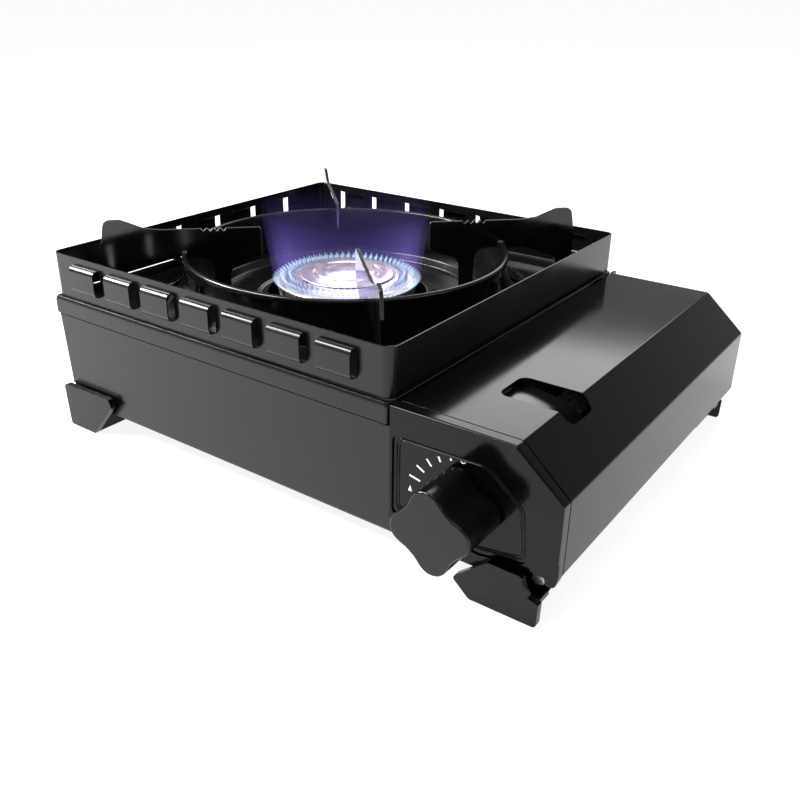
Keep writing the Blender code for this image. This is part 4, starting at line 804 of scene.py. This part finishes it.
# %% Flame materials
def glow(name, code, strength, low_mm, high_mm, base=1.0, tip=0.0, edge="#000000"):
    """Light added over what is behind it, fading from a lower height to an upper one.

    It is strongest between the middle and the edge of a round shape, and edge is the grey at the edge itself.
    """
    material = bpy.data.materials.new(name)
    material.use_nodes = True
    tree = material.node_tree
    tree.nodes.clear()
    place = node(tree, "ShaderNodeNewGeometry").outputs["Position"]
    height = node(tree, "ShaderNodeSeparateXYZ", {"Vector": place}).outputs["Z"]
    fade = node(tree, "ShaderNodeMapRange", {
        "Value": height, "From Min": low_mm * MM, "From Max": high_mm * MM, "To Min": base, "To Max": tip,
    }, interpolation_type="SMOOTHSTEP").outputs["Result"]
    facing = node(tree, "ShaderNodeLayerWeight", {"Blend": 0.5}).outputs["Facing"]
    rim = ramp(tree, facing, [(0.0, "#999999"), (0.55, "#ffffff"), (1.0, edge)])
    both = node(tree, "ShaderNodeMath", {0: fade, 1: rim}, operation="MULTIPLY").outputs["Value"]
    power = node(tree, "ShaderNodeMath", {0: both, 1: strength}, operation="MULTIPLY").outputs["Value"]
    light = node(tree, "ShaderNodeEmission", {"Color": colour(code), "Strength": power})
    clear = node(tree, "ShaderNodeBsdfTransparent")
    total = node(tree, "ShaderNodeAddShader", {0: light.outputs[0], 1: clear.outputs[0]})
    node(tree, "ShaderNodeOutputMaterial", {"Surface": total.outputs[0]})
    return material


# %% Jets at the ports
JET_R = 0.7
JET_HALF = 2.2
JET_AHEAD = 1.5
only()
bpy.ops.mesh.primitive_uv_sphere_add(segments=10, ring_count=8, radius=1.0)
jet = added("flame_jet")
for vertex in jet.data.vertices:
    share = (vertex.co.z + 1) / 2
    slim = 1 - 0.75 * share ** 1.5
    across = JET_R * slim
    vertex.co = Vector((
        vertex.co.z * JET_HALF + JET_AHEAD, vertex.co.x * across, vertex.co.y * across,
    )) * MM
jet_rows = [
    (36.0, head_top + 0.2, 1.25, 60), (40.5, head_top - 0.6, 0.95, 66), (43.8, head_top - 3.0, 0.6, 72),
]
jets = copies(jet, [
    about(2 * math.pi * (index + 0.37 * row) / count, radius, height, tilt)
    for row, (radius, height, tilt, count) in enumerate(jet_rows) for index in range(count)
])
jets.name = "flame_jets"
jets.data.materials.append(
    glow("flame_core", "#cdefff", 0.5, head_top - 4, head_top + 8, 1.0, 0.5, "#444444")
)

# %% Haze above the ports
HAZE_DIP = 3
HAZE_LOW = 92
HAZE_SHELLS = [(46.0, 53.0, 134.0, 0.13), (43.0, 49.0, 131.0, 0.11), (38.0, 44.0, 128.0, 0.09)]
for number, (low_r, high_r, top, strength) in enumerate(HAZE_SHELLS, start=1):
    only()
    bpy.ops.mesh.primitive_cone_add(
        vertices=96, radius1=low_r * MM, radius2=high_r * MM, depth=(top - head_top + HAZE_DIP) * MM,
        end_fill_type="NOTHING", location=(AXIS.x * MM, AXIS.y * MM, (top + head_top - HAZE_DIP) / 2 * MM),
    )
    haze = added(f"flame_haze_{number}")
    bpy.ops.object.transform_apply(location=True)
    bpy.ops.object.shade_smooth()
    haze.data.materials.append(glow("flame_haze", "#8672dc", strength, HAZE_LOW, top, 1.0, 0.15))

# %% Halo on the port ring
halo = turned("flame_halo", [
    (33.0, head_top + 0.5), (47.0, head_top - 1.0), (47.2, head_top - 1.2), (33.0, head_top + 0.3),
], 96)
bpy.ops.object.transform_apply(location=True)
halo.data.materials.append(
    glow("flame_halo", "#c2e2ff", 0.06, head_top - 4, head_top + 4, 1.0, 1.0, "#ffffff")
)

# %% [markdown]
# ## Studio
# A white floor that glows a little, a pale sky and five soft boxes. The black lid is a mirror at a low
# angle, so what it shows is the box behind the stove, whose lower edge fades across it. The two boxes in
# front stand where the folds of the deck and the louvres mirror them, which draws the lines of light.
# The flame has a small lamp of its own.

# %% Floor and world
only()
bpy.ops.mesh.primitive_plane_add(size=40)
floor = added("floor")
floor.data.materials.append(finish(
    "white_floor", ["#9c9c9b", "#9e9e9d"], (0.8, 0.9), 400, 30, 0.0,
    Emission_Color=colour("#ffffff"), Emission_Strength=0.88, Specular_IOR_Level=0.0,
))
world = bpy.data.worlds.new("studio")
bpy.context.scene.world = world
world.use_nodes = True
tree = world.node_tree
sky_height = node(tree, "ShaderNodeSeparateXYZ", {
    "Vector": node(tree, "ShaderNodeTexCoord").outputs["Generated"],
}).outputs["Z"]
sky = ramp(tree, sky_height, [(0.0, "#f0f0f0"), (0.2, "#b8b8b8"), (0.6, "#8e8e90")])
tree.links.new(sky, tree.nodes["Background"].inputs["Color"])
tree.nodes["Background"].inputs["Strength"].default_value = 0.9


# %% Soft boxes
def soft_box(name, place, size, power, tint="#ffffff", target=(0.0, 0.0, 0.08)):
    light = bpy.data.lights.new(name, "AREA")
    light.shape = "RECTANGLE"
    light.size, light.size_y = size
    light.energy = power
    light.color = colour(tint)[:3]
    lamp = bpy.data.objects.new(name, light)
    lamp.location = place
    lamp.rotation_euler = (Vector(target) - Vector(place)).to_track_quat("-Z", "Y").to_euler()
    bpy.context.scene.collection.objects.link(lamp)
    return lamp


soft_box("box_behind", (-0.35, 1.18, 0.93), (0.75, 0.66), 6)
soft_box("box_above", (0.1, -0.1, 1.7), (1.2, 1.2), 9)
soft_box("box_front_left", (-1.15, -0.55, 0.86), (0.5, 0.4), 40)
soft_box("box_front", (-0.6, -0.72, 1.1), (0.7, 0.3), 24)
soft_box("box_right", (1.5, 0.1, 0.6), (0.8, 0.5), 3, "#fff6f0")
fire = bpy.data.lights.new("fire_light", "POINT")
fire.energy = 0.09
fire.color = colour("#b9bcff")[:3]
fire.shadow_soft_size = 0.03
fire_lamp = bpy.data.objects.new("fire_light", fire)
fire_lamp.location = (AXIS.x * MM, AXIS.y * MM, (head_top + 16) * MM)
bpy.context.scene.collection.objects.link(fire_lamp)

# %% Camera
CAMERA_PLACE = (0.2935, -0.4081, 0.2630)
yaw, pitch, roll = (math.radians(angle) for angle in (35.26, 25.91, 0.82))
view = Vector((-math.sin(yaw) * math.cos(pitch), math.cos(yaw) * math.cos(pitch), -math.sin(pitch)))
level = Vector((math.cos(yaw), math.sin(yaw), 0))
upright = level.cross(view)
right = math.cos(roll) * level + math.sin(roll) * upright
up = -math.sin(roll) * level + math.cos(roll) * upright
camera_data = bpy.data.cameras.new("camera")
camera_data.lens = 39.67
camera_data.sensor_width = 36
camera_data.shift_x = 0.0051
camera_data.shift_y = 0.0009
camera_data.clip_start = 0.01
camera = bpy.data.objects.new("camera", camera_data)
bpy.context.scene.collection.objects.link(camera)
turned_to = Matrix((right, up, -view)).transposed().to_4x4()
camera.matrix_world = Matrix.Translation(CAMERA_PLACE) @ turned_to
bpy.context.scene.camera = camera
bpy.context.scene.view_settings.view_transform = "Standard"
